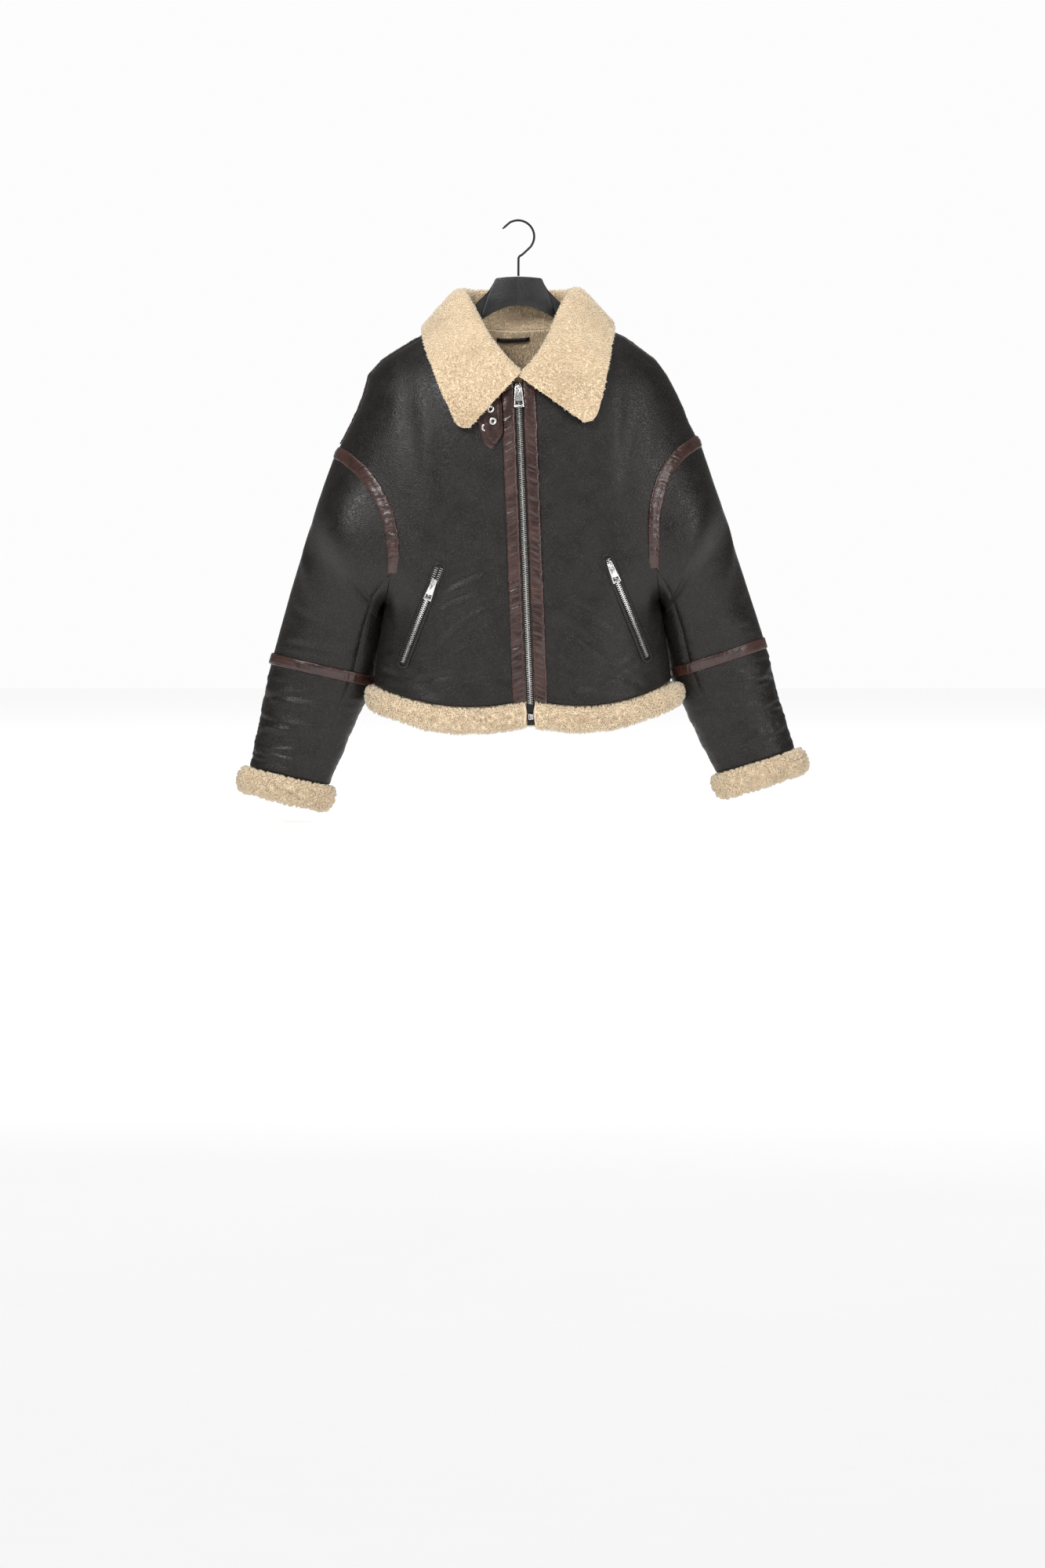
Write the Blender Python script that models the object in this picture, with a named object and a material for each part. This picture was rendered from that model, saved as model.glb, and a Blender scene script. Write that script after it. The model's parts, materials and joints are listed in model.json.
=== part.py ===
"""A shearling jacket hanging closed on its hanger.

The frame: the origin is the inside top of the hanger's hook, where a rail would carry it. +X is
the side at the viewer's right (the wearer's left), the front of the jacket faces -Y, and +Z is up.
Sizes are in millimetres and become metres when a mesh is made. Left and right are the wearer's.
"""

import math

import bpy
import numpy as np
from mathutils import Vector
from mathutils.bvhtree import BVHTree

MM = 0.001

# Driving dimensions of the garment
WALL = 7.0
SEAM_GAP = 0.3
LAY_GAP = 0.9
TAPE_GAP = 1.6
FRONT_DEPTH = 88.0
BACK_DEPTH = 65.0
RIDGE_ROLL = 175.0
SIDE_ROLL = 130.0
HEM_BOW = {-1: 20.0, 1: 6.5}
TAPE_WIDTH = 20.0
ELBOW_TAPE_WIDTH = 17.0
TAPE_THICK = 1.6
PLACKET_WIDTH = 20.0
PLACKET_THICK = 2.0

# Wool bands and collar
HEM_WOOL_HEIGHT = 43.0
CUFF_WOOL_HEIGHT = 41.0
HEM_WOOL_PROUD = 17.5
CUFF_WOOL_PROUD = 15.5
WOOL_INSIDE = 13.0
WOOL_SEAT = 3.5
HEM_WOOL_SIDE_GAP = 1.4
COLLAR_HALF = 5.0
COLLAR_ROLL = 6.8
COLLAR_LIFT = 5.9

# Main zip: its line leans a little, from the neck to the hem
ZIP_TOP_X = 0.4
ZIP_TOP_Z = -259.0
ZIP_LEAN = 0.0381
ZIP_HALF = 6.5
ZIP_HEAD_Z = -246.0
ZIP_FOOT_Z = -766.0
ZIP_SLIDER_Z = -252.0
ZIP_LOW_SLIDER_Z = -739.0
ZIP_BOX_Z = -752.0
ZIP_TAPE_THICK = 1.4
ZIP_TEETH_HALF = 4.0
ZIP_TEETH_THICK = 2.2

# Pocket zips, for each side: top and bottom of the teeth, and the slider's place down the line
POCKETS = {
    "right": {"top": (-119.0, -527.0), "foot": (-174.0, -671.0), "slider": 24.0},
    "left": {"top": (135.6, -514.0), "foot": (194.6, -662.0), "slider": 10.0},
}
POCKET_TEETH_HALF = 3.8
POCKET_WELT_INNER = 4.6
POCKET_WELT_OUTER = 9.0
POCKET_WELT_THICK = 2.0
POCKET_WELT_STEP = 4.4
POCKET_WELT_PAST = 8.0
POCKET_SCALE = 0.86
POCKET_GAP = 1.3

# Pull tabs: length below the bar, width at bar and at the foot, window
MAIN_TAB = {"length": 31.0, "top": 10.0, "foot": 15.0, "window": (11.5, 6.3)}
POCKET_TAB = {"length": 28.0, "top": 8.6, "foot": 12.6, "window": (8.6, 5.4)}
TAB_THICK = 1.8
# How far the tab's bar, the joint's axis, lies above the slider's back
BAR_OUT = 4.5
# Between a zip's teeth and the hardware on them
HARDWARE_GAP = 0.4

# Hanger
HOOK_WIRE = 1.7
HOOK_CENTRE = (-0.2, -22.9)
HOOK_RADIUS = 24.6
PLATE_THICK = 3.0

# Rows of the body panels from hem to shoulder: share of the way up, and the height of the
# row at the centre front and at the centre back. The last four rows start on the neckline.
ROW_SHARE = (0.0, 0.06, 0.13, 0.20, 0.27, 0.34, 0.42, 0.51, 0.60, 0.69, 0.77, 0.83, 0.89, 0.95, 1.0)
FRONT_HEIGHT = (-727, -690, -648, -605, -560, -512, -458, -398, -341, -290, -243)
BACK_HEIGHT = (-731, -690, -643, -596, -548, -498, -443, -380, -310, -240, -172)
ARMPIT_ROW = 3
NECK_ROW = 10
LAST_ROW = 14

# Neckline after its centre point: distance from the middle, height
NECK_FRONT = ((30, -226), (58, -203), (82, -180))
NECK_BACK = ((32, -170), (62, -166), (88, -160))

# Side seam up to the armpit, then the armhole up to the shoulder: distance from the middle, height
OUTER_EDGE = {
    "right": (
        (221, -705), (216, -668), (210, -625), (205, -583), (199, -567),
        (193, -535), (190, -495), (197, -450), (207, -425), (220, -402),
        (235, -383), (250, -370), (262, -360), (271, -355), (277, -352),
    ),
    "left": (
        (233, -700), (230, -664), (223, -622), (216, -577), (213, -560),
        (209, -527), (207, -485), (208, -437), (216, -402), (226, -379),
        (238, -363), (250, -351), (261, -343), (270, -337), (276, -334),
    ),
}

# Shoulder ridge from the neck to the armhole: distance from the middle, height
SHOULDER = {
    "right": (
        (104, -157), (125, -166), (151, -178), (168, -187), (205, -211), (227, -235),
        (233, -259), (242, -283), (253, -307), (265, -331), (277, -352),
    ),
    "left": (
        (104, -152), (125, -160), (146, -169), (161, -175), (178, -187), (210, -211),
        (227, -235), (240, -259), (251, -283), (260, -307), (270, -325), (276, -334),
    ),
}
RIDGE_MIDDLE = (0.0, -115.0)

# Sleeve sections below the armhole: outer edge (out, height), inner edge (out, height),
# middle y, half depth. The fourth is the elbow seam and the last is the cuff line.
SLEEVE = {
    "right": (
        (301, -418, 210, -592, -6, 70),
        (327, -499, 209, -612, 20, 62),
        (353, -583, 211, -652, 34, 54),
        (377, -667, 219, -702, 40, 48),
        (392, -735, 247, -760, 38, 43),
        (402, -790, 268, -812, 34, 39),
        (411, -831, 288, -860, 30, 36),
    ),
    "left": (
        (300, -405, 222, -588, -6, 70),
        (325, -478, 222, -608, 20, 62),
        (352, -561, 225, -646, 34, 54),
        (377, -643, 232, -690, 40, 48),
        (391, -698, 257, -748, 38, 43),
        (406, -751, 281, -797, 34, 39),
        (423, -804, 303, -842, 30, 36),
    ),
}
ELBOW = 4.0
CUFF = 7.0
UNDER_SEAM_ROW = 5
# Share of the half turn from the outer edge at which the under sleeve starts, per section
UNDER_SHARE = (0.0, 0.78, 0.74, 0.70, 0.69, 0.69, 0.69, 0.69)

# Collar sections from the centre front to the centre back. Roll: the top of the fold.
# Edge: the fall's free edge. Neck: the place along the neckline, in rows (10 is the centre
# front, 14 the shoulder, 18 the centre back).
COLLAR = {
    "right": (
        (10.0, (0, -100, -239), (-73, -101, -317)),
        (10.5, (-14, -98, -226), (-85, -101, -317)),
        (11.0, (-26, -95, -215), (-96, -100, -309)),
        (11.6, (-38, -90, -203), (-106, -99, -286)),
        (12.2, (-51, -81, -187), (-119, -95, -259)),
        (12.8, (-61, -69, -168), (-131, -86, -226)),
        (13.3, (-71, -51, -147), (-141, -60, -198)),
        (13.7, (-82, -28, -126), (-146, -24, -174)),
        (14.0, (-92, -2, -110), (-142, 13, -161)),
        (14.6, (-90, 26, -107), (-122, 44, -174)),
        (15.6, (-68, 47, -108), (-88, 60, -188)),
        (16.8, (-36, 58, -108), (-46, 69, -195)),
    ),
    "left": (
        (10.0, (9, -100, -246), (99, -101, -309)),
        (10.5, (23, -98, -230), (112, -101, -306)),
        (11.0, (36, -95, -216), (121, -100, -296)),
        (11.6, (48, -90, -201), (127, -98, -274)),
        (12.2, (57, -81, -183), (133, -93, -250)),
        (12.8, (64, -69, -163), (138, -83, -222)),
        (13.3, (71, -51, -143), (142, -58, -196)),
        (13.7, (81, -28, -122), (146, -24, -170)),
        (14.0, (92, -2, -107), (142, 13, -156)),
        (14.6, (90, 26, -106), (122, 44, -172)),
        (15.6, (68, 47, -108), (88, 60, -188)),
        (16.8, (36, 58, -108), (46, 69, -195)),
    ),
}
COLLAR_BACK = (18.0, (0, 62, -108), (0, 72, -197))

# Soft folds of the body: x, height, angle from the vertical in degrees, half length,
# half width, depth (a minus sign raises a ridge)
FRONT_FOLDS = (
    (-166, -300, 6, 90, 16, 3.5),
    (-140, -330, 3, 80, 14, -2.0),
    (172, -290, -8, 90, 16, 3.5),
    (148, -330, -4, 80, 14, -2.0),
    (-150, -700, 62, 45, 12, 2.5),
    (-60, -640, 40, 70, 16, 2.0),
    (120, -690, -58, 50, 12, 2.5),
    (70, -620, -30, 75, 16, 2.0),
)
BACK_FOLDS = (
    (-160, -310, 8, 95, 18, 3.5),
    (165, -310, -8, 95, 18, 3.5),
    (-90, -640, 35, 80, 16, 2.5),
    (60, -600, -28, 90, 18, 2.5),
    (0, -420, 4, 120, 20, -2.0),
    (140, -680, -55, 50, 13, 2.5),
    (-150, -560, 50, 60, 14, 2.5),
)
# Soft folds of a sleeve: place down the sleeve in sections, turn from the outer edge in
# degrees, slant in sections per radian, half length in degrees, half width in sections, depth
SLEEVE_FOLDS = (
    (2.2, 60, 0.5, 55, 0.22, 2.5),
    (3.4, 110, -0.3, 60, 0.20, 2.5),
    (4.7, 75, 0.3, 70, 0.20, 2.5),
    (5.5, 100, -0.2, 70, 0.20, 2.5),
    (6.2, 60, 0.2, 60, 0.20, 2.0),
    (2.8, 250, -0.4, 60, 0.22, 2.5),
    (4.6, 280, 0.3, 70, 0.20, 2.5),
    (5.8, 240, -0.2, 70, 0.20, 2.5),
)

# Colours, roughness, metallic value of each material
LOOKS = {
    "leather": ((0.022, 0.019, 0.017), 0.42, 0.0),
    "brown": ((0.070, 0.030, 0.024), 0.35, 0.0),
    "wool": ((0.72, 0.56, 0.36), 0.95, 0.0),
    "tape": ((0.012, 0.012, 0.012), 0.85, 0.0),
    "nickel": ((0.78, 0.77, 0.75), 0.22, 1.0),
    "black_metal": ((0.05, 0.05, 0.05), 0.35, 1.0),
    "plastic": ((0.018, 0.018, 0.019), 0.45, 0.0),
}

SIGN = {"right": -1.0, "left": 1.0}


# Vectors and curves


def unit(vectors):
    lengths = np.linalg.norm(vectors, axis=-1, keepdims=True)
    return vectors / np.maximum(lengths, 1e-9)


def smooth(table, places):
    """A smooth curve through the rows of a table, at places counted in rows."""
    points = np.asarray(table, float)
    places = np.clip(np.asarray(places, float), 0, len(points) - 1)
    first = np.minimum(places.astype(int), len(points) - 2)
    share = (places - first).reshape(places.shape + (1,) * (points.ndim - 1))
    before = np.where((first > 0).reshape(share.shape), points[np.maximum(first - 1, 0)],
                      2 * points[first] - points[first + 1])
    last = np.minimum(first + 2, len(points) - 1)
    after = np.where((first + 2 < len(points)).reshape(share.shape), points[last],
                     2 * points[first + 1] - points[first])
    start = (points[first + 1] - before) / 2
    end = (after - points[first]) / 2
    step = points[first + 1] - points[first]
    return (points[first] + share * start + share ** 2 * (3 * step - 2 * start - end)
            + share ** 3 * (start + end - 2 * step))


def lengths_along(points):
    steps = np.linalg.norm(np.diff(points, axis=0), axis=1)
    return np.concatenate([[0.0], np.cumsum(steps)])


def walk(points, values, distance):
    """The values at a distance along a run of points."""
    run = lengths_along(points)
    return np.array([np.interp(distance, run, values[:, axis]) for axis in range(3)])


def smooth_distance(x, z, line):
    """The distance to a bent line in the front view, rounded off where the line bends."""
    total = np.zeros(np.shape(x))
    for (ax, az), (bx, bz) in zip(line[:-1], line[1:]):
        length = math.hypot(bx - ax, bz - az)
        ux = (bx - ax) / length
        uz = (bz - az) / length
        start = (ax - x) * ux + (az - z) * uz
        away = np.maximum(np.abs((ax - x) * uz - (az - z) * ux), 0.4)

        def part(s):
            return s / (2 * away ** 2 * (away ** 2 + s ** 2)) + np.arctan(s / away) / (2 * away ** 3)

        total += part(start + length) - part(start)
    return (2 * total / math.pi) ** (-1 / 3)


def roll(share):
    """Rises from nothing, upright at first, and levels out at one."""
    return np.sqrt(1 - (1 - np.clip(share, 0, 1)) ** 2)


# The body's surface


def zip_x(z):
    return ZIP_TOP_X + ZIP_LEAN * (ZIP_TOP_Z - z)


def ridge_line():
    """The outline from one cuff over both shoulders to the other cuff."""
    halves = []
    for side in ("right", "left"):
        outer = list(SHOULDER[side]) + [(row[0], row[1]) for row in SLEEVE[side]]
        halves.append([(SIGN[side] * x, z) for x, z in outer])
    return halves[0][::-1] + [RIDGE_MIDDLE] + halves[1]


def side_line(side):
    sign = SIGN[side]
    seam = OUTER_EDGE[side][: ARMPIT_ROW + 1]
    below = (seam[0][0] + 6.0, seam[0][1] - 60.0)
    return [(sign * x, z) for x, z in (below, *seam)]


def fold_depth(x, z, folds):
    depth = np.zeros(np.shape(x))
    for fx, fz, angle, half_length, half_width, deep in folds:
        turn = math.radians(angle)
        along = -(x - fx) * math.sin(turn) + (z - fz) * math.cos(turn)
        across = (x - fx) * math.cos(turn) + (z - fz) * math.sin(turn)
        depth += deep * np.exp(-(across / half_width) ** 2 - (along / half_length) ** 2)
    return depth


def body_y(x, z, face):
    """The depth of the body's outer face: front is -1 and back is 1."""
    height = roll(smooth_distance(x, z, ridge_line()) / RIDGE_ROLL)
    for side in ("right", "left"):
        height = height * roll(smooth_distance(x, z, side_line(side)) / SIDE_ROLL)
    if face < 0:
        return -(FRONT_DEPTH * height - fold_depth(x, z, FRONT_FOLDS) * height ** 2)
    return BACK_DEPTH * height - fold_depth(x, z, BACK_FOLDS) * height ** 2


def inner_edge(side, face, rows):
    """Centre front or back, then the neckline, at places counted in rows."""
    sign = SIGN[side]
    heights = FRONT_HEIGHT if face < 0 else BACK_HEIGHT
    neck = NECK_FRONT if face < 0 else NECK_BACK
    z = smooth([[h] for h in heights], rows)[:, 0]
    x = zip_x(z) + sign * ZIP_HALF if face < 0 else np.zeros(len(rows))
    start = (abs(zip_x(heights[-1]) + sign * ZIP_HALF) if face < 0 else 0.0, heights[-1])
    neckline = smooth([start, *neck, SHOULDER[side][0]], rows - NECK_ROW)
    above = rows > NECK_ROW
    return np.stack([np.where(above, sign * neckline[:, 0], x),
                     np.where(above, neckline[:, 1], z)], axis=1)


def outer_edge(side, rows):
    """Side seam and armhole at places counted in rows, with a corner at the armpit."""
    table = OUTER_EDGE[side]
    seam = smooth(table[: ARMPIT_ROW + 1], rows)
    armhole = smooth(table[ARMPIT_ROW:], rows - ARMPIT_ROW)
    edge = np.where((rows > ARMPIT_ROW)[:, None], armhole, seam)
    return edge * (SIGN[side], 1.0)


def shoulder_edge(side, shares):
    table = np.asarray(SHOULDER[side], float)
    run = lengths_along(table)
    places = np.interp(np.asarray(shares) * run[-1], run, np.arange(len(table)))
    return smooth(table, places) * (SIGN[side], 1.0)


def body_points(side, face, rows, shares):
    """Outer face of one half of the front or back: rows up it, shares from centre to side."""
    rows = np.asarray(rows, float)
    shares = np.asarray(shares, float)
    up = np.interp(rows, np.arange(len(ROW_SHARE)), ROW_SHARE)[:, None, None]
    across = shares[None, :, None]
    inner = inner_edge(side, face, rows)[:, None, :]
    outer = outer_edge(side, rows)[:, None, :]
    low_in = inner_edge(side, face, np.zeros(1))[None]
    low_out = outer_edge(side, np.zeros(1))[None]
    high_in = inner_edge(side, face, np.full(1, float(LAST_ROW)))[None]
    high_out = outer_edge(side, np.full(1, float(LAST_ROW)))[None]
    hem = low_in + (low_out - low_in) * across
    hem = hem - np.stack([np.zeros_like(shares), HEM_BOW[face] * 4 * shares * (1 - shares)], axis=1)[None]
    top = shoulder_edge(side, shares)[None]
    corners = ((1 - up) * ((1 - across) * low_in + across * low_out)
               + up * ((1 - across) * high_in + across * high_out))
    flat = (1 - up) * hem + up * top + (1 - across) * inner + across * outer - corners
    x = flat[..., 0]
    z = flat[..., 1]
    y = body_y(x, z, face)
    y = np.where((rows[:, None] >= LAST_ROW) | ((across[..., 0] >= 1) & (rows[:, None] <= ARMPIT_ROW)),
                 0.0, y)
    return np.stack([x, y, z], axis=-1)


# The sleeve's surface


def sleeve_points(side, places, turns):
    """Outer face of a sleeve. Places run from 0, the armhole, to 7, the cuff line. Turns run
    from 0, the shoulder, over 1, the armpit, back to 2 behind, counted in half turns."""
    sign = SIGN[side]
    turns = np.asarray(turns, float)
    places = np.asarray(places, float)
    front = turns <= 1
    half = np.where(front, turns, 2 - turns)
    span = LAST_ROW - ARMPIT_ROW
    edge = outer_edge(side, LAST_ROW - span * half)
    y = np.where(front, body_y(edge[:, 0], edge[:, 1], -1), body_y(edge[:, 0], edge[:, 1], 1))
    y = np.where((half <= 0) | (half >= 1), 0.0, y)
    rings = [np.stack([edge[:, 0], y, edge[:, 1]], axis=1)]
    fine = np.linspace(0, 1, 67)
    run = lengths_along(outer_edge(side, LAST_ROW - span * fine))
    share = np.interp(half, fine, run / run[-1])
    seam_half = (LAST_ROW - UNDER_SEAM_ROW) / span
    seam_share = np.interp(seam_half, fine, run / run[-1])
    for ring, (ox, oz, ix, iz, middle, depth) in enumerate(SLEEVE[side], 1):
        target = UNDER_SHARE[ring]
        turned = np.where(share < seam_share, share * target / seam_share,
                          1 - (1 - share) * (1 - target) / (1 - seam_share))
        angle = math.pi * turned
        out = (1 + np.cos(angle)) / 2
        x = ix + (ox - ix) * out
        z = iz + (oz - iz) * out
        across = np.where(front, -1.0, 1.0) * np.sin(angle)
        rings.append(np.stack([sign * x, middle + depth * across, z], axis=1))
    surface = smooth(rings, places)
    return surface - sleeve_folds(places, turns)[..., None] * grid_normals(surface, sign)


def sleeve_folds(places, turns):
    place = places[:, None]
    turn = np.asarray(turns)[None, :] * 180.0
    depth = np.zeros((len(places), len(turns)))
    for middle, centre, slant, half_length, half_width, deep in SLEEVE_FOLDS:
        away = (turn - centre + 180) % 360 - 180
        across = place - middle - slant * np.radians(away)
        depth += deep * np.exp(-(across / half_width) ** 2 - (away / half_length) ** 2)
    return depth * np.clip(place, 0, 1) * np.clip((CUFF - place) * 2, 0, 1)


def grid_normals(points, sign):
    """Normals of a grid of points, turned round where the sign is minus."""
    along = np.gradient(points, axis=0)
    across = np.gradient(points, axis=1)
    return unit(np.cross(along, across)) * sign


# Meshes


def material(name):
    found = bpy.data.materials.get(name)
    if found:
        return found
    colour, rough, metallic = LOOKS[name]
    made = bpy.data.materials.new(name)
    made.use_nodes = True
    shader = made.node_tree.nodes["Principled BSDF"]
    shader.inputs["Base Color"].default_value = (*colour, 1.0)
    shader.inputs["Roughness"].default_value = rough
    shader.inputs["Metallic"].default_value = metallic
    made.diffuse_color = (*colour, 1.0)
    return made


def add_object(name, points, faces, look, origin=(0.0, 0.0, 0.0), smooth_shade=True):
    origin = np.asarray(origin, float)
    mesh = bpy.data.meshes.new(name)
    mesh.from_pydata([tuple(p) for p in (np.asarray(points) - origin) * MM], [], faces)
    mesh.update()
    if smooth_shade:
        mesh.shade_smooth()
        mesh.set_sharp_from_angle(angle=math.radians(40))
    mesh.materials.append(material(look))
    made = bpy.data.objects.new(name, mesh)
    made.location = origin * MM
    bpy.context.scene.collection.objects.link(made)
    return made


class Skin:
    """An open surface of triangles, later given a thickness."""

    def __init__(self):
        self.points = []
        self.normals = []
        self.index = {}
        self.triangles = []

    def vertex(self, point, normal):
        key = tuple(np.round(point, 3))
        if key not in self.index:
            self.index[key] = len(self.points)
            self.points.append(np.asarray(point, float))
            self.normals.append(np.asarray(normal, float))
        return self.index[key]

    def add_grid(self, points, normals, keep=None):
        rows, columns = points.shape[:2]
        ids = [[self.vertex(points[i, j], normals[i, j]) for j in range(columns)] for i in range(rows)]
        found = []
        for i in range(rows - 1):
            for j in range(columns - 1):
                if keep is not None and not keep(i, j):
                    continue
                a, b, c, d = ids[i][j], ids[i][j + 1], ids[i + 1][j + 1], ids[i + 1][j]
                found += [(a, b, c), (a, c, d)]
        facing = 0.0
        for a, b, c in found:
            pa, pb, pc = self.points[a], self.points[b], self.points[c]
            facing += np.dot(np.cross(pb - pa, pc - pa), self.normals[a] + self.normals[b])
        if facing < 0:
            found = [(a, c, b) for a, b, c in found]
        self.triangles += [t for t in found if len(set(t)) == 3]

    def thicken(self, thickness):
        """Points and triangles of the closed wall, its second face inside the first."""
        points = np.array(self.points)
        normals = np.array(self.normals)
        count = len(points)
        inner = points - normals * thickness
        edges = {}
        for triangle in self.triangles:
            for k in range(3):
                edges[(triangle[k], triangle[(k + 1) % 3])] = True
        faces = list(self.triangles)
        faces += [(a + count, c + count, b + count) for a, b, c in self.triangles]
        for a, b in edges:
            if (b, a) in edges:
                continue
            low, high = sorted((a, b), key=lambda v: edge_order(points[v]))
            if low == a:
                faces += [(a, a + count, b + count), (a, b + count, b)]
            else:
                faces += [(a, a + count, b), (a + count, b + count, b)]
        return np.concatenate([points, inner]), faces


def edge_order(point):
    """Sorts the two ends of an edge alike on both sides of a seam."""
    return (round(point[2] / 2), round(point[0] / 2), round(point[1] / 2))


def add_wall(name, skin, thickness, look):
    points, faces = skin.thicken(thickness)
    made = add_object(name, points, faces, look)
    turn_outward(made)
    return made


def pulled(points, away, distance):
    """Points moved off a seam, along the surface."""
    return points + unit(away) * distance


def add_strip(name, points, normals, gap, thickness, look):
    """A strip lying on a surface, a gap above it."""
    skin = Skin()
    skin.add_grid(points + normals * (gap + thickness), normals)
    return add_wall(name, skin, thickness, look)


# Body and sleeves

BODY_ROWS = np.array([0, 1, 2, 3, 3.4, 4, 5, 6, 7, 8, 9, 10, 11, 12, 13, 13.6, 14])
ARMPIT = list(BODY_ROWS).index(ARMPIT_ROW)
UNDER_SEAM = list(BODY_ROWS).index(UNDER_SEAM_ROW)
NECK = list(BODY_ROWS).index(NECK_ROW)
TOP = len(BODY_ROWS) - 1
BODY_SHARES = (0.0, 0.10, 0.22, 0.35, 0.48, 0.60, 0.71, 0.80, 0.88, 0.94, 0.975, 1.0)
UPPER_PLACES = (0.0, 0.25, 0.6, 1.0, 1.5, 2.0, 2.5, 3.0, 3.5, ELBOW)
LOWER_PLACES = (ELBOW, 4.5, 5.0, 5.5, 6.0, 6.5, CUFF)


def sleeve_turns():
    """The armhole's rows as half turns, shoulder to armpit in front, then back up behind."""
    front = [(LAST_ROW - row) / (LAST_ROW - ARMPIT_ROW) for row in BODY_ROWS[:ARMPIT - 1:-1]]
    back = [2 - t for t in front[-2::-1]]
    return np.array(front + back)


def body_grids():
    """Points and normals of the four half panels, with shared normals at the seams."""
    grids = {}
    for side in ("right", "left"):
        for face in (-1, 1):
            points = body_points(side, face, BODY_ROWS, BODY_SHARES)
            normals = grid_normals(points, SIGN[side] * face)
            normals[: ARMPIT + 1, -1] = flat_normals(points[: ARMPIT + 1, -1], SIGN[side])
            normals[-1] = flat_normals(points[-1], SIGN[side])
            normals[0, :, 2] = 0
            if face > 0:
                normals[: NECK + 1, 0, 0] = 0
            grids[side, face] = [points, unit(normals)]
    return grids


def flat_normals(points, sign):
    """Outward normals of a line in the plane y = 0."""
    along = np.gradient(points, axis=0)
    normals = np.stack([-along[:, 2], np.zeros(len(points)), along[:, 0]], axis=1)
    outward = normals @ np.array([sign, 0.0, 0.6])
    return unit(normals * np.where(outward < 0, -1.0, 1.0)[:, None])


def sleeve_grid(side):
    turns = sleeve_turns()
    places = np.array(UPPER_PLACES + LOWER_PLACES[1:])
    points = sleeve_points(side, places, turns)
    around = np.concatenate([points[:, -2:-1], points, points[:, 1:2]], axis=1)
    normals = grid_normals(around, SIGN[side])[:, 1:-1]
    middle = points.mean(axis=1, keepdims=True)
    if np.sum(normals * (points - middle)) < 0:
        normals = -normals
    return points, normals


def armhole_row(column):
    """The panel and its row that a sleeve's column meets at the armhole."""
    span = TOP - ARMPIT
    if column <= span:
        return -1, TOP - column
    return 1, TOP - (2 * span - column)


def share_armhole(grids, sleeves):
    """Gives the body and the sleeve one normal at each point of the armhole."""
    for side in ("right", "left"):
        normals = sleeves[side][1]
        for column in range(2 * (TOP - ARMPIT) + 1):
            face, row = armhole_row(column)
            body = grids[side, face][1]
            shared = body[row, -1] + normals[0, column]
            if row in (ARMPIT, TOP):
                shared[1] = 0.0
            shared = unit(shared)
            normals[0, column] = shared
            body[row, -1] = shared
            if row in (ARMPIT, TOP):
                grids[side, -face][1][row, -1] = shared


def seamed_half(side, face, grids, pull):
    """A half panel's points, moved back from its seams."""
    points, normals = (grid.copy() for grid in grids[side, face])
    armhole = slice(ARMPIT, None)
    points[armhole, -1] = pulled(points[armhole, -1], points[armhole, -2] - points[armhole, -1], pull)
    points[: ARMPIT + 1, -1, 1] = face * pull
    points[-1, :, 1] = face * pull
    return points, normals


def add_body(grids):
    pull = SEAM_GAP / 2
    for side in ("right", "left"):
        skin = Skin()
        skin.add_grid(*seamed_half(side, -1, grids, pull))
        add_wall(f"front_{side}", skin, WALL, "leather")
    back = Skin()
    for side in ("right", "left"):
        back.add_grid(*seamed_half(side, 1, grids, pull))
    add_wall("back", back, WALL, "leather")


def add_sleeve(side, sleeves):
    points, normals = sleeves[side]
    pull = SEAM_GAP / 2
    elbow = len(UPPER_PLACES) - 1
    seam = TOP - UNDER_SEAM
    last = len(sleeve_turns()) - 1
    outer_columns = list(range(last - seam, last)) + list(range(0, seam + 1))
    under_columns = list(range(seam, last - seam + 1))
    parts = {
        "upper": (list(range(0, elbow + 1)), outer_columns),
        "upper_under": (list(range(0, elbow + 1)), under_columns),
        "lower": (list(range(elbow, len(points))), outer_columns),
        "lower_under": (list(range(elbow, len(points))), under_columns),
    }
    for part, (rows, columns) in parts.items():
        grid = points[np.ix_(rows, columns)].copy()
        turned = normals[np.ix_(rows, columns)]
        inset = grid.copy()
        inset[:, 0] += unit(grid[:, 1] - grid[:, 0]) * pull
        inset[:, -1] += unit(grid[:, -2] - grid[:, -1]) * pull
        inset[0] += unit(grid[1] - grid[0]) * pull
        if part.startswith("upper"):
            inset[-1] += unit(grid[-2] - grid[-1]) * pull
        skin = Skin()
        skin.add_grid(inset, turned)
        add_wall(f"sleeve_{part}_{side}", skin, WALL, "leather")


def add_armhole_tape(side, grids, sleeves):
    """A leather tape over the armhole seam, half on the body and half on the sleeve."""
    sleeve_at, sleeve_out = sleeves[side]
    half = TAPE_WIDTH / 2
    steps = (half, half / 2, 0.0)
    span = TOP - ARMPIT
    runs = []
    for column in list(range(span + 3, 2 * span + 1)) + list(range(1, span - 2)):
        face, row = armhole_row(column)
        body_at, body_out = grids[side, face]
        points = [walk(body_at[row, ::-1], body_at[row, ::-1], d) for d in steps]
        normals = [walk(body_at[row, ::-1], body_out[row, ::-1], d) for d in steps]
        points += [walk(sleeve_at[:, column], sleeve_at[:, column], d) for d in steps[1::-1]]
        normals += [walk(sleeve_at[:, column], sleeve_out[:, column], d) for d in steps[1::-1]]
        runs.append((np.array(points), unit(np.array(normals))))
    points = np.array([run[0] for run in runs])
    normals = np.array([run[1] for run in runs])
    add_strip(f"armhole_tape_{side}", points, normals, TAPE_GAP, TAPE_THICK, "brown")


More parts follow.
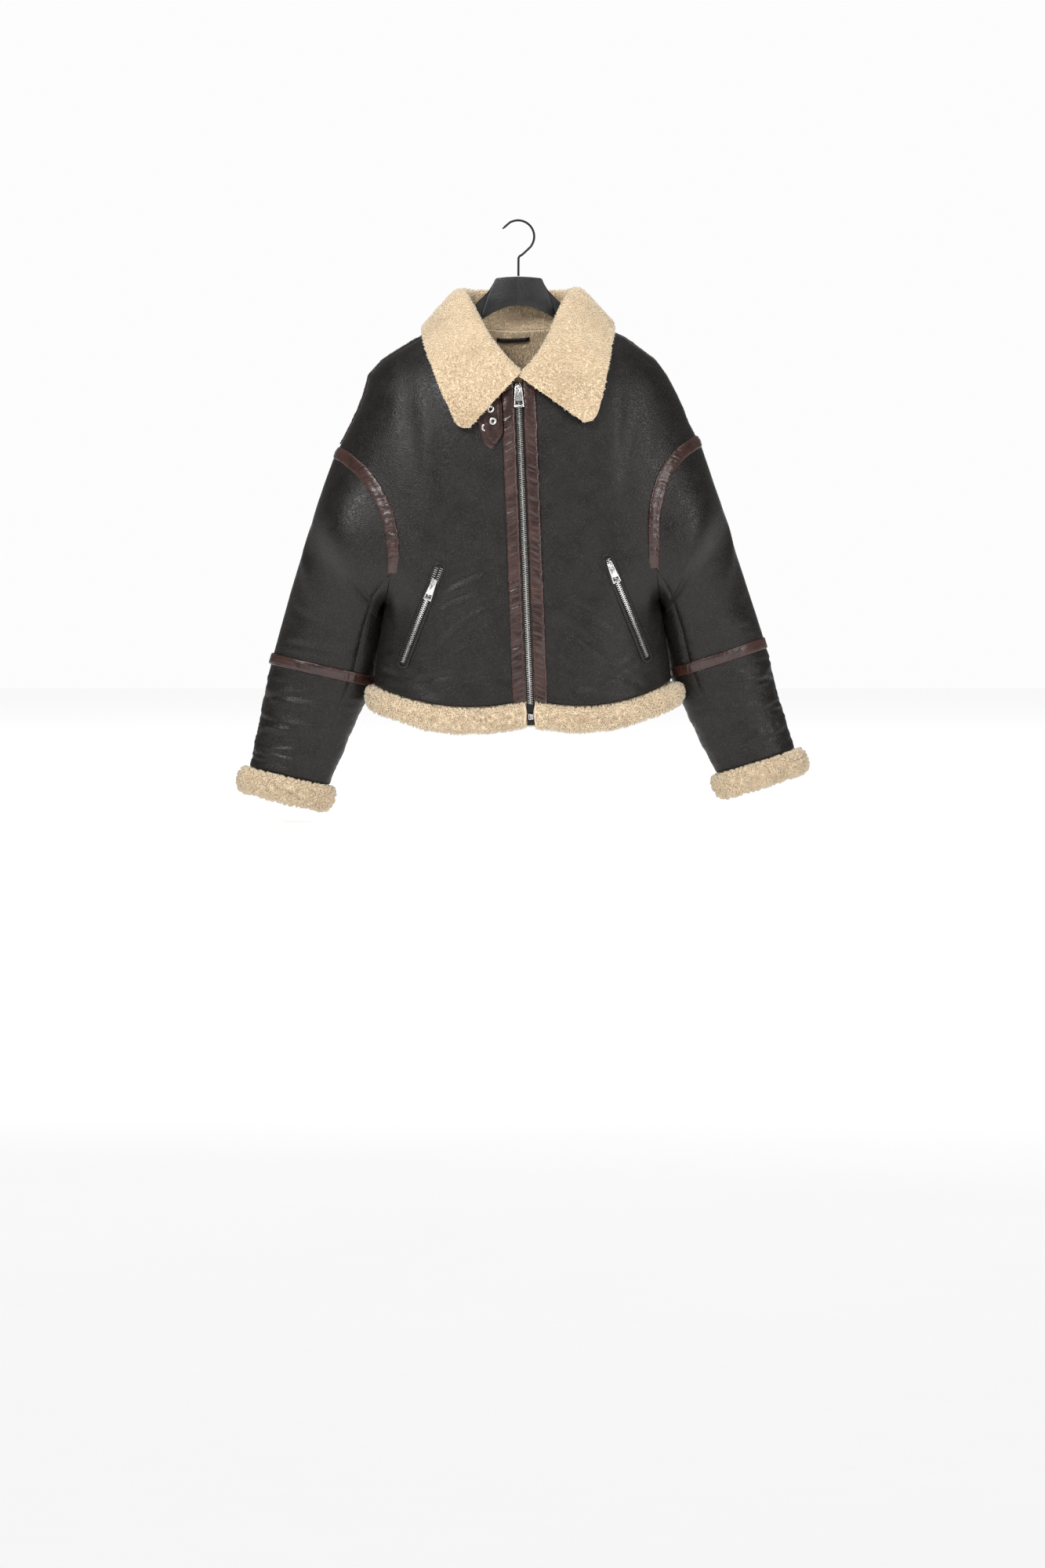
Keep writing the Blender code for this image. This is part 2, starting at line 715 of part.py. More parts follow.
def add_elbow_tape(side, sleeves):
    points, normals = sleeves[side]
    elbow = len(UPPER_PLACES) - 1
    half = ELBOW_TAPE_WIDTH / 2
    rows = []
    turned = []
    for column in range(points.shape[1]):
        up = points[elbow::-1, column]
        down = points[elbow:, column]
        up_out = normals[elbow::-1, column]
        down_out = normals[elbow:, column]
        rows.append([walk(up, up, half), points[elbow, column], walk(down, down, half)])
        turned.append([walk(up, up_out, half), normals[elbow, column], walk(down, down_out, half)])
    add_strip(f"elbow_tape_{side}", np.array(rows), unit(np.array(turned)), LAY_GAP, TAPE_THICK, "brown")


def add_shoulder_tape(side, grids):
    """A tape along the shoulder seam, on the back panel."""
    points, normals = grids[side, 1]
    rows = []
    turned = []
    for column in range(1, points.shape[1] - 2):
        run = points[::-1, column]
        out = normals[::-1, column]
        rows.append([walk(run, run, d) for d in (1.0, 10.0, 20.0)])
        turned.append([walk(run, out, d) for d in (1.0, 10.0, 20.0)])
    add_strip(f"shoulder_tape_{side}", np.array(rows), unit(np.array(turned)), TAPE_GAP, TAPE_THICK, "brown")


def add_placket(side, grids):
    points, normals = grids[side, -1]
    steps = (0.4, PLACKET_WIDTH / 2, PLACKET_WIDTH)
    rows = [[walk(points[row], points[row], d) for d in steps] for row in range(NECK + 1)]
    turned = [[walk(points[row], normals[row], d) for d in steps] for row in range(NECK + 1)]
    add_strip(f"placket_{side}", np.array(rows), unit(np.array(turned)), LAY_GAP, PLACKET_THICK, "brown")


# Wool bands


def wool_section(proud, height):
    """Points round a wool band's section: out from the wall, down from its edge."""
    inside = WOOL_INSIDE
    return (
        (2.0, 0.6), (proud * 0.7, 1.8), (proud, height * 0.28), (proud * 0.97, height * 0.62),
        (proud * 0.62, height * 0.9), (-2.0, height), (-inside * 0.75, height * 0.9),
        (-inside, height * 0.6), (-inside, height * 0.25), (-inside * 0.6, 1.8), (-3.5, 0.6),
    )


def band_rings(edge, out, down, proud, height):
    rings = []
    for point, normal, fall in zip(edge, out, down):
        rings.append([point + normal * a + fall * b for a, b in wool_section(proud, height)])
    return np.array(rings)


def add_ring_solid(name, rings, closed, look):
    """Joins like rings of points into one closed body."""
    count, around = rings.shape[:2]
    points = rings.reshape(-1, 3)
    faces = []
    for i in range(count if closed else count - 1):
        k = (i + 1) % count
        for j in range(around):
            n = (j + 1) % around
            faces.append((i * around + j, k * around + j, k * around + n, i * around + n))
    if not closed:
        faces.append(tuple(range(around)))
        faces.append(tuple((count - 1) * around + j for j in range(around - 1, -1, -1)))
    made = add_object(name, points, faces, look)
    turn_outward(made)
    return made


def turn_outward(made):
    """Flips a closed mesh whose faces point inwards."""
    mesh = made.data
    mesh.calc_loop_triangles()
    volume = 0.0
    for triangle in mesh.loop_triangles:
        a, b, c = (mesh.vertices[i].co for i in triangle.vertices)
        volume += a.dot(b.cross(c))
    if volume < 0:
        mesh.flip_normals()


def hem_edge(grids):
    """The hem from one side of the zip round the back to the other."""
    edge = []
    out = []
    for side, face, order in (("right", -1, 1), ("right", 1, -1), ("left", 1, 1), ("left", -1, -1)):
        points, normals = grids[side, face]
        line = points[0][::order]
        turned = normals[0][::order]
        skip = 1 if edge else 0
        edge += list(line[skip:])
        out += list(turned[skip:])
    out = np.array(out)
    out[:, 2] = 0
    return np.array(edge), unit(out)


def add_hem_wool(grids):
    edge, out = hem_edge(grids)
    edge = edge.copy()
    edge[0, 0] -= HEM_WOOL_SIDE_GAP
    edge[-1, 0] += HEM_WOOL_SIDE_GAP
    down = np.tile((0.0, 0.0, -1.0), (len(edge), 1))
    rings = band_rings(edge - out * WOOL_SEAT, out, down, HEM_WOOL_PROUD, HEM_WOOL_HEIGHT)
    add_ring_solid("hem_wool", rings, False, "wool")


def add_cuff_wool(side, sleeves):
    points, normals = sleeves[side]
    edge = points[-1, :-1]
    out = normals[-1, :-1]
    axis = unit(points[-1].mean(axis=0) - points[-3].mean(axis=0))
    out = unit(out - (out @ axis)[:, None] * axis)
    down = np.tile(axis, (len(edge), 1))
    rings = band_rings(edge - out * WOOL_SEAT, out, down, CUFF_WOOL_PROUD, CUFF_WOOL_HEIGHT)
    add_ring_solid(f"cuff_wool_{side}", rings, True, "wool")


# Collar


def neck_line(side, grids):
    """Mid wall points and directions into the opening along the neckline, by row number."""
    front_at, front_out = grids[side, -1]
    back_at, back_out = grids[side, 1]
    at = np.concatenate([front_at[NECK:, 0], back_at[TOP - 1:NECK - 1:-1, 0]])
    out = np.concatenate([front_out[NECK:, 0], back_out[TOP - 1:NECK - 1:-1, 0]])
    rows = np.concatenate([BODY_ROWS[NECK:], 2 * LAST_ROW - BODY_ROWS[TOP - 1:NECK - 1:-1]])
    middle = at - out * WALL / 2
    inward = unit(np.cross(out, np.gradient(middle, axis=0)))
    centre = np.array([0.0, -10.0, -185.0])
    signs = np.sign(np.sum(inward * (centre - middle), axis=1))
    return rows, middle, inward * signs[:, None]


def collar_sections(grids):
    """Neck, roll and edge points all round, from the right front to the left front."""
    necks, rolls, edges = [], [], []
    for side, order in (("right", 1), ("left", -1)):
        rows, middle, inward = neck_line(side, grids)
        sections = list(COLLAR[side]) + ([COLLAR_BACK] if side == "right" else [])
        for place, top, edge in sections[::order]:
            base = np.array([np.interp(place, rows, middle[:, k]) for k in range(3)])
            turn = np.array([np.interp(place, rows, inward[:, k]) for k in range(3)])
            necks.append(base + unit(turn) * COLLAR_LIFT)
            rolls.append(top)
            edges.append(edge)
    return np.array(necks, float), np.array(rolls, float), np.array(edges, float)


COLLAR_STAND = (0.0, 0.35, 0.7)
COLLAR_ARC = (0.0, 0.25, 0.5, 0.75, 1.0)
COLLAR_FALL = (0.2, 0.45, 0.7, 0.9, 1.0)


def collar_middle(necks, rolls, edges):
    """The middle surface: up the stand, round the fold, down the fall."""
    along = unit(np.gradient(rolls, axis=0))
    rows = []
    for neck, top, edge, tangent in zip(necks, rolls, edges, along):
        rise = top - neck
        rise = unit(rise - np.dot(rise, tangent) * tangent)
        outward = unit(np.cross(tangent, rise))
        if np.dot(outward, edge - top) < 0:
            outward = -outward
        centre = top - rise * COLLAR_ROLL
        first = centre - outward * COLLAR_ROLL
        fall = edge - centre
        turn = math.atan2(np.dot(fall, outward), np.dot(fall, rise))
        reach = math.hypot(np.dot(fall, outward), np.dot(fall, rise))
        turn += math.asin(min(0.9, COLLAR_ROLL / reach))
        turn = min(turn, math.radians(178))
        row = [neck + (first - neck) * s for s in COLLAR_STAND]
        for s in COLLAR_ARC:
            angle = turn * s
            row.append(centre + COLLAR_ROLL * (math.sin(angle) * rise - math.cos(angle) * outward))
        last = row[-1]
        row += [last + (edge - last) * s for s in COLLAR_FALL]
        rows.append(row)
    return np.array(rows)


def add_collar(grids):
    middle = collar_middle(*collar_sections(grids))
    normals = grid_normals(middle, 1.0)
    back = len(middle) // 2
    if normals[back, -2, 1] < 0:
        normals = -normals
    half = np.full(middle.shape[1], COLLAR_HALF)
    half[0] = COLLAR_HALF - 1.0
    half[-1] = COLLAR_HALF * 0.6
    skin = Skin()
    skin.add_grid(middle + normals * half[None, :, None], normals * half[None, :, None] / COLLAR_HALF)
    add_wall("collar", skin, 2 * COLLAR_HALF, "wool")


# Things laid on the front panels


class Panel:
    """Finds the outer face of the body from the front or the back."""

    def __init__(self, grids, face):
        self.face = face
        points = []
        faces = []
        self.normals = []
        for side in ("right", "left"):
            at, out = grids[side, face]
            rows, columns = at.shape[:2]
            start = len(points)
            points += [Vector(p) for p in at.reshape(-1, 3)]
            self.normals += list(out.reshape(-1, 3))
            for i in range(rows - 1):
                for j in range(columns - 1):
                    a = start + i * columns + j
                    faces.append((a, a + 1, a + columns + 1))
                    faces.append((a, a + columns + 1, a + columns))
        self.faces = faces
        self.points = points
        self.tree = BVHTree.FromPolygons(points, faces)

    def at(self, x, z):
        """The point and the smooth normal of the face at x and z."""
        hit, _, index, _ = self.tree.ray_cast(Vector((x, self.face * 400.0, z)), Vector((0, -self.face, 0)))
        corners = [np.array(self.points[i]) for i in self.faces[index]]
        flat = np.array([[c[0], c[2], 1.0] for c in corners]).T
        weights = np.linalg.solve(flat, np.array([x, z, 1.0]))
        normal = sum(w * self.normals[i] for w, i in zip(weights, self.faces[index]))
        return np.array(hit), unit(normal)


def lay_line(panel, top, foot, stations, offsets):
    """Points across a straight line on a panel."""
    top = np.array(top, float)
    foot = np.array(foot, float)
    down = unit(foot - top)
    across = np.array([-down[1], down[0]])
    if across[0] < 0:
        across = -across
    points = []
    normals = []
    for s in stations:
        centre = top + (foot - top) * s
        found = [panel.at(*(centre + across * o)) for o in offsets]
        points.append([f[0] for f in found])
        normals.append([f[1] for f in found])
    return np.array(points), np.array(normals)


def add_pocket(side, panel):
    place = POCKETS[side]
    top = np.array(place["top"], float)
    foot = np.array(place["foot"], float)
    length = float(np.linalg.norm(foot - top))
    down = (foot - top) / length
    outer_top = top - down * POCKET_WELT_PAST
    outer_foot = foot + down * POCKET_WELT_PAST
    total = length + 2 * POCKET_WELT_PAST
    step = POCKET_WELT_STEP / total
    inset = POCKET_WELT_PAST * 1.5 / total
    stations = [0.0, step, *np.linspace(inset, 1 - inset, 9), 1 - step, 1.0]
    offsets = (-POCKET_WELT_OUTER, -POCKET_WELT_INNER, POCKET_WELT_INNER, POCKET_WELT_OUTER)
    points, normals = lay_line(panel, outer_top, outer_foot, stations, offsets)
    skin = Skin()
    gap = POCKET_GAP + POCKET_WELT_THICK
    last = len(stations) - 2
    skin.add_grid(points + normals * gap, normals, lambda i, j: j != 1 or i in (0, last))
    add_wall(f"pocket_welt_{side}", skin, POCKET_WELT_THICK, "leather")
    across = (-POCKET_TEETH_HALF, 0.0, POCKET_TEETH_HALF)
    points, normals = lay_line(panel, top, foot, np.linspace(-0.012, 1.012, 11), across)
    add_strip(f"pocket_zip_{side}", points, normals, POCKET_GAP, POCKET_WELT_THICK, "nickel")
    at, out = panel.at(*(top + down * place["slider"]))
    away = POCKET_GAP + POCKET_WELT_THICK + HARDWARE_GAP
    frame = zip_frame(at + out * away, out, (down[0], 0.0, down[1]))
    add_slider(f"pocket_slider_{side}", frame, POCKET_SCALE)
    add_tab(f"pocket_tab_{side}", frame, POCKET_TAB, POCKET_SCALE)


def zip_frame(origin, out, down):
    """Origin, across, down the zip and outward, for hardware on a zip."""
    out = unit(np.asarray(out, float))
    down = np.asarray(down, float)
    down = unit(down - np.dot(down, out) * out)
    return np.asarray(origin, float), np.cross(down, out), down, out


def placed(frame, points):
    origin, across, down, out = frame
    points = np.asarray(points, float)
    return origin + points[:, :1] * across + points[:, 1:2] * down + points[:, 2:] * out


def add_blocks(name, frame, xs, ys, zs, filled, look):
    """A closed body of blocks on a grid of planes."""
    points = []
    index = {}

    def corner(i, j, k):
        if (i, j, k) not in index:
            index[i, j, k] = len(points)
            points.append((xs[i], ys[j], zs[k]))
        return index[i, j, k]

    faces = []
    sides = (
        ((-1, 0, 0), ((0, 0, 0), (0, 0, 1), (0, 1, 1), (0, 1, 0))),
        ((1, 0, 0), ((1, 0, 0), (1, 1, 0), (1, 1, 1), (1, 0, 1))),
        ((0, -1, 0), ((0, 0, 0), (1, 0, 0), (1, 0, 1), (0, 0, 1))),
        ((0, 1, 0), ((0, 1, 0), (0, 1, 1), (1, 1, 1), (1, 1, 0))),
        ((0, 0, -1), ((0, 0, 0), (0, 1, 0), (1, 1, 0), (1, 0, 0))),
        ((0, 0, 1), ((0, 0, 1), (1, 0, 1), (1, 1, 1), (0, 1, 1))),
    )
    for cell in filled:
        for step, corners in sides:
            if tuple(c + s for c, s in zip(cell, step)) in filled:
                continue
            faces.append(tuple(corner(*(c + d for c, d in zip(cell, delta))) for delta in corners))
    made = add_object(name, placed(frame, points), faces, look, smooth_shade=False)
    turn_outward(made)
    return made


def add_slider(name, frame, scale):
    """A zip slider: a flat body with a bridge, under which the tab's bar turns."""
    xs = [scale * v for v in (-4.4, -1.3, 1.3, 4.4)]
    ys = [scale * v for v in (-6.5, -4.6, -3.2, 3.2, 4.6, 6.5)]
    zs = [0.0, 3.0, 6.3, 7.6]
    filled = {(i, j, 0) for i in range(3) for j in range(5)}
    filled |= {(1, 1, 1), (1, 3, 1), (1, 1, 2), (1, 2, 2), (1, 3, 2)}
    add_blocks(name, frame, xs, ys, zs, filled, "nickel")


def tab_points(size, scale):
    """Rows of points across a pull tab, in its own plane: bar, slot, window, foot."""
    window_wide, window_high = size["window"]
    length = size["length"]
    rows = (-1.0, 1.0, 6.2 * scale + 0.4, length - window_high - 4.2, length - 4.2, length - 1.2, length)
    slot = 1.9
    points = []
    for row, y in enumerate(rows):
        share = max(0.0, y / length)
        half = (size["top"] + (size["foot"] - size["top"]) * share) / 2
        hole = slot + (window_wide / 2 - slot) * min(1.0, max(0.0, (row - 2) / 1.0))
        if row == len(rows) - 1:
            half -= 1.6
        points.append([(x, y) for x in (-half, -hole, hole, half)])
    return np.array(points)


def add_tab(name, frame, size, scale):
    """A pull tab hanging from the slider's bridge; its bar is the joint's axis."""
    flat = tab_points(size, scale)
    rows, columns = flat.shape[:2]
    origin, across, down, out = frame
    local = np.concatenate([flat, np.full((rows, columns, 1), BAR_OUT + TAB_THICK / 2)], axis=2)
    points = placed(frame, local.reshape(-1, 3)).reshape(rows, columns, 3)
    normals = np.broadcast_to(out, points.shape)
    skin = Skin()
    skin.add_grid(points, normals, lambda i, j: j != 1 or i not in (1, 3))
    solid, faces = skin.thicken(TAB_THICK)
    add_object(name, solid, faces, "nickel", origin=origin + out * BAR_OUT, smooth_shade=False)


def zip_line(panel, z, lift):
    """A point on the main zip's line, lifted off the panels' outer face."""
    left, left_out = panel.at(zip_x(z) - ZIP_HALF - 0.3, z)
    right, right_out = panel.at(zip_x(z) + ZIP_HALF + 0.3, z)
    out = unit((left_out + right_out) * (0.0, 1.0, 1.0))
    return (left + right) / 2 + out * lift, out


def zip_heights(panel):
    rows = [z for z in FRONT_HEIGHT if z < ZIP_HEAD_Z - 10]
    return [ZIP_HEAD_Z - 1.0, *rows[::-1]]


def add_main_zip(panel):
    """Tape and teeth between the fronts, carried straight on below their hem."""
    low_at, low_out = zip_line(panel, FRONT_HEIGHT[0] + 1.0, 0.0)
    heights = [z for z in zip_heights(panel) if z > FRONT_HEIGHT[0]]
    stations = [(z, *zip_line(panel, z, 0.0)) for z in heights]
    stations.append((FRONT_HEIGHT[0], low_at + (0, 0, -1.0), low_out))
    drop = FRONT_HEIGHT[0] - ZIP_FOOT_Z
    stations.append((ZIP_FOOT_Z, low_at + (ZIP_LEAN * drop, 0.0, -drop - 1.0), low_out))
    for name, half, face, thick, look in (
        ("main_zip_tape", ZIP_HALF - 0.5, -0.4, ZIP_TAPE_THICK, "tape"),
        ("main_zip_teeth", ZIP_TEETH_HALF, ZIP_TEETH_THICK, ZIP_TEETH_THICK, "nickel"),
    ):
        rows = []
        turned = []
        for _, at, out in stations:
            rows.append([at + (half * s, 0, 0) + out * face for s in (-1.0, 1.0)])
            turned.append([out, out])
        skin = Skin()
        skin.add_grid(np.array(rows), np.array(turned))
        add_wall(name, skin, thick, look)
    at, out = zip_line(panel, ZIP_SLIDER_Z - 3.0, ZIP_TEETH_THICK + HARDWARE_GAP)
    frame = zip_frame(at, out, (ZIP_LEAN, 0.0, -1.0))
    add_slider("main_slider", frame, 1.0)
    add_tab("main_tab", frame, MAIN_TAB, 1.0)
    for name, z, half, high, look in (
        ("main_low_slider", ZIP_LOW_SLIDER_Z, 4.4, 6.0, "black_metal"),
        ("main_zip_box", ZIP_BOX_Z, 3.8, 4.2, "nickel"),
    ):
        centre = low_at + np.array([ZIP_LEAN * (FRONT_HEIGHT[0] - z), 0.0, z - FRONT_HEIGHT[0]])
        frame = zip_frame(centre + low_out * (ZIP_TEETH_THICK + HARDWARE_GAP), low_out, (ZIP_LEAN, 0.0, -1.0))
        add_blocks(name, frame, (-half, half), (-high, high), (0.0, 2.4), {(0, 0, 0)}, look)


# Throat strap: rows from the collar down to the point: x of both edges, height of each edge
STRAP = ((-55, -27, -285, -266), (-53, -25, -300, -284), (-50.5, -23.5, -318, -304),
         (-47, -23, -331, -324), (-38.5, -33.5, -341, -341))
UNDER_STRAP = ((-64, -44, -292, -282), (-61, -40, -307, -300), (-56, -38, -325, -322),
               (-52, -36, -340, -340), (-41.5, -36.5, -348, -348))
STRAP_THICK = 1.8
EYELETS = ((-38.0, -306.0), (-41.5, -288.0))
EYELET_OUTER = 5.7
EYELET_INNER = 2.3


def add_strap(panel):
    lift = LAY_GAP
    for name, table in (("throat_strap_under", UNDER_STRAP), ("throat_strap", STRAP)):
        rows = []
        turned = []
        for left, right, left_z, right_z in table:
            places = [(left + (right - left) * s, left_z + (right_z - left_z) * s) for s in (0.0, 0.5, 1.0)]
            found = [panel.at(x, z) for x, z in places]
            over = [lift + (PLACKET_THICK + 0.4 if x > zip_x(z) - ZIP_HALF - PLACKET_WIDTH - 2 else 0.0)
                    for x, z in places]
            rows.append([f[0] + f[1] * o for f, o in zip(found, over)])
            turned.append([f[1] for f in found])
        add_strip(name, np.array(rows), np.array(turned), 0.0, STRAP_THICK, "brown")
        lift += STRAP_THICK + 0.5
    for number, (x, z) in enumerate(EYELETS, 1):
        at, out = panel.at(x, z)
        frame = zip_frame(at + out * (lift + 0.8), out, (0.0, 0.0, -1.0))
        ring = []
        for step in range(16):
            angle = 2 * math.pi * step / 16
            ring.append([(r * math.cos(angle), r * math.sin(angle), h) for r, h in (
                (EYELET_INNER, 0.0), (EYELET_OUTER, 0.0), (EYELET_OUTER - 0.8, 1.0), (EYELET_INNER, 1.0))])
        ring = np.array(ring)
        ring = placed(frame, ring.reshape(-1, 3)).reshape(ring.shape)
        add_ring_solid(f"eyelet_{number}", ring, True, "nickel")


# Hanger loop inside the back of the neck
LOOP_FROM_X = -34.0
LOOP_TO_X = 18.0
LOOP_TOP_Z = -176.5
LOOP_WIDTH = 7.0
LOOP_THICK = 2.0


def add_loop(grids):
    back = Panel(grids, 1)
    rows = []
    turned = []
    for x in np.linspace(LOOP_FROM_X, LOOP_TO_X, 6):
        found = [back.at(x, z) for z in (LOOP_TOP_Z, LOOP_TOP_Z - LOOP_WIDTH)]
        rows.append([at - out * (WALL + 1.0) for at, out in found])
        turned.append([-out for _, out in found])
    skin = Skin()
    rows = np.array(rows)
    turned = np.array(turned)
    skin.add_grid(rows + turned * LOOP_THICK, turned)
    add_wall("hanger_loop", skin, LOOP_THICK, "tape")


# Hanger: sections outwards from the middle: distance from the middle, top, bottom, half thickness
HANGER_RIGHT = (
    (18, -85.5, -129.5, 5.0), (34, -87.5, -135.0, 5.0), (45, -106.0, -142.0, 5.5), (59, -120.0, -150.0, 6.0),
    (68, -129.0, -156.0, 6.0), (85, -154.0, -174.0, 5.5), (97, -169.0, -189.0, 5.5),
    (110, -173.5, -194.0, 6.0), (151, -191.5, -211.0, 6.0), (180, -207.5, -226.0, 5.5),
    (200, -222.5, -237.0, 4.5), (206, -230.0, -236.0, 3.0),
)
HANGER_LEFT = (
    (18, -85.5, -129.5, 5.0), (35, -87.5, -135.0, 5.0), (46, -106.0, -142.0, 5.5), (59, -119.0, -150.0, 6.0),
    (68, -128.0, -156.0, 6.0), (85, -147.0, -169.0, 6.0), (97, -162.5, -184.0, 6.0),
    (110, -169.0, -190.0, 6.0), (146, -183.5, -203.0, 6.0), (178, -202.0, -221.0, 5.5),
    (200, -219.5, -235.0, 4.5), (206, -227.0, -233.0, 3.0),
)
HANGER_MIDDLE = (0, -84.0, -128.0, 5.0)
# Hub plate: distance from the middle, top, bottom
PLATE = (
    (0, -84.5, -128.0), (18, -85.0, -130.0), (35, -87.0, -136.0),
    (47, -116.0, -143.0), (58, -147.0, -150.5),
)
PLATE_SETBACK = 1.4
PLATE_BEVEL = 0.8


def hanger_section(x, top, bottom, half):
    chamfer = min(2.0, half * 0.5, (top - bottom) * 0.3)
    return [
        (x, -half + chamfer, top), (x, half - chamfer, top), (x, half, top - chamfer),
        (x, half, bottom + chamfer), (x, half - chamfer, bottom), (x, -half + chamfer, bottom),
        (x, -half, bottom + chamfer), (x, -half, top - chamfer),
    ]


def add_hanger():
    rings = [hanger_section(-x, t, b, h) for x, t, b, h in HANGER_RIGHT[::-1]]
    rings.append(hanger_section(*HANGER_MIDDLE))
    rings += [hanger_section(x, t, b, h) for x, t, b, h in HANGER_LEFT]
    add_ring_solid("hanger_body", np.array(rings, float), False, "plastic")
    front = -HANGER_MIDDLE[3] - HARDWARE_GAP
    rings = []
    for sign, table in ((-1, PLATE[:0:-1]), (1, PLATE)):
        for x, top, bottom in table:
            back = front - (PLATE_SETBACK if x > PLATE[2][0] else 0.0)
            face = back - PLATE_THICK
            rings.append([(sign * x, back, top), (sign * x, back, bottom),
                          (sign * x, face, bottom + PLATE_BEVEL), (sign * x, face, top - PLATE_BEVEL)])
    add_ring_solid("hanger_plate", np.array(rings, float), False, "plastic")


def hook_path():
    """Tip, round the top, back under, and down the stem, in the front view."""
    cx, cz = HOOK_CENTRE
    path = [(-24.0, -11.4)]
    for degrees in range(122, -47, -12):
        angle = math.radians(degrees)
        path.append((cx + HOOK_RADIUS * math.cos(angle), cz + HOOK_RADIUS * math.sin(angle)))
    path += [(6.5, -50.2), (2.6, -52.6), (0.9, -55.0), (0.5, -58.5), (0.4, -83.2)]
    return np.array(path)


def add_hook():
    flat = hook_path()
    points = np.stack([flat[:, 0], np.zeros(len(flat)), flat[:, 1]], axis=1)
    along = unit(np.gradient(points, axis=0))
    side = np.stack([-along[:, 2], np.zeros(len(flat)), along[:, 0]], axis=1)
    depth = np.array([0.0, 1.0, 0.0])
    rings = []
    for point, across in zip(points, side):
        rings.append([point + HOOK_WIRE * (math.cos(a) * across + math.sin(a) * depth)
                      for a in (2 * math.pi * k / 10 for k in range(10))])
    add_ring_solid("hanger_hook", np.array(rings), False, "black_metal")


def main():
    for found in list(bpy.data.objects):
        bpy.data.objects.remove(found)
    grids = body_grids()
    sleeves = {side: sleeve_grid(side) for side in ("right", "left")}
    share_armhole(grids, sleeves)
    panel = Panel(grids, -1)
    add_body(grids)
    add_collar(grids)
    add_hem_wool(grids)
    for side in ("right", "left"):
        add_sleeve(side, sleeves)
        add_cuff_wool(side, sleeves)
        add_armhole_tape(side, grids, sleeves)
        add_elbow_tape(side, sleeves)
        add_shoulder_tape(side, grids)
        add_placket(side, grids)
        add_pocket(side, panel)
    add_main_zip(panel)
    add_strap(panel)
    add_loop(grids)
    add_hanger()
    add_hook()


main()
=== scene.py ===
"""The looks of the shearling jacket on its hanger: leather, wool, tapes, stitches and hardware.

Sizes are in millimetres in the part's own frame and become metres when a mesh is made. The origin
is the inside top of the hanger's hook, +X is the viewer's right and the front faces -Y. Left and
right are the wearer's. The garment's surfaces repeat the part's named sizes and tables.
"""

import itertools
import json
import math

import bmesh
import bpy
import numpy as np
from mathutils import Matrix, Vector
from mathutils.bvhtree import BVHTree
from mathutils.kdtree import KDTree

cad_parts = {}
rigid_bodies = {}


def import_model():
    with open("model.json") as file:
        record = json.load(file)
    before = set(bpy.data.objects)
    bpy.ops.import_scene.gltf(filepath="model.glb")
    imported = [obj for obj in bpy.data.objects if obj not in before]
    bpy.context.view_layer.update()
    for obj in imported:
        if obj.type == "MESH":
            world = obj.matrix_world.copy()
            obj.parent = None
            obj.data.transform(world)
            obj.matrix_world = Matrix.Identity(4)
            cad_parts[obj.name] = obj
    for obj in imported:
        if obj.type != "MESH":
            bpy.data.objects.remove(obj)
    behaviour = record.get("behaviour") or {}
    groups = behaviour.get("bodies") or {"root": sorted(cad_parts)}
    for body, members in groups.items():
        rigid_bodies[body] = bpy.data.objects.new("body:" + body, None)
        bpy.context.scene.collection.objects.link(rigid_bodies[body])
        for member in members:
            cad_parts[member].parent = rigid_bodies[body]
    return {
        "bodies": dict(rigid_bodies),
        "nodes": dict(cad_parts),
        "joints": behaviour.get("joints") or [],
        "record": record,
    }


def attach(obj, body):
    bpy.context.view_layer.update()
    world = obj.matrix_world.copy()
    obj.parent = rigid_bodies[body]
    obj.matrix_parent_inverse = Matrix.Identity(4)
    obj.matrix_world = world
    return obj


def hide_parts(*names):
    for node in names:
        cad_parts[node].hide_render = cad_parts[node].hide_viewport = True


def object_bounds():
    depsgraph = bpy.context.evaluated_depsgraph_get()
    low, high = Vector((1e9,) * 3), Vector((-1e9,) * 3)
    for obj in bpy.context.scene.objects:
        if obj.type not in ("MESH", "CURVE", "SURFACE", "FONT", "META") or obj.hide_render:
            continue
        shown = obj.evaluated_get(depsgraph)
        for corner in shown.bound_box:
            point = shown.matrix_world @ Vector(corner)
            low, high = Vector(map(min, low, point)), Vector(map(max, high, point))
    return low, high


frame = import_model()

CAD_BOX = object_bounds()
MM = 0.001

# Driving dimensions of the garment, as in the part
WALL = 7.0
LAY_GAP = 0.9
FRONT_DEPTH = 88.0
BACK_DEPTH = 65.0
RIDGE_ROLL = 175.0
SIDE_ROLL = 130.0
HEM_BOW = {-1: 20.0, 1: 6.5}
TAPE_WIDTH = 20.0
ELBOW_TAPE_WIDTH = 17.0
TAPE_THICK = 1.6
PLACKET_WIDTH = 20.0
PLACKET_THICK = 2.0

# Wool bands and collar
HEM_WOOL_HEIGHT = 43.0
CUFF_WOOL_HEIGHT = 41.0
HEM_WOOL_PROUD = 17.5
CUFF_WOOL_PROUD = 15.5
WOOL_INSIDE = 13.0
WOOL_SEAT = 3.5
HEM_WOOL_SIDE_GAP = 1.4
COLLAR_HALF = 5.0
COLLAR_ROLL = 6.8
COLLAR_LIFT = 5.9

# Main zip: its line leans a little, from the neck to the hem
ZIP_TOP_X = 0.4
ZIP_TOP_Z = -259.0
ZIP_LEAN = 0.0381
ZIP_HALF = 6.5
ZIP_HEAD_Z = -246.0
ZIP_FOOT_Z = -766.0
ZIP_SLIDER_Z = -252.0
ZIP_LOW_SLIDER_Z = -739.0
ZIP_BOX_Z = -752.0
ZIP_TAPE_THICK = 1.4
ZIP_TEETH_HALF = 4.0
ZIP_TEETH_THICK = 2.2

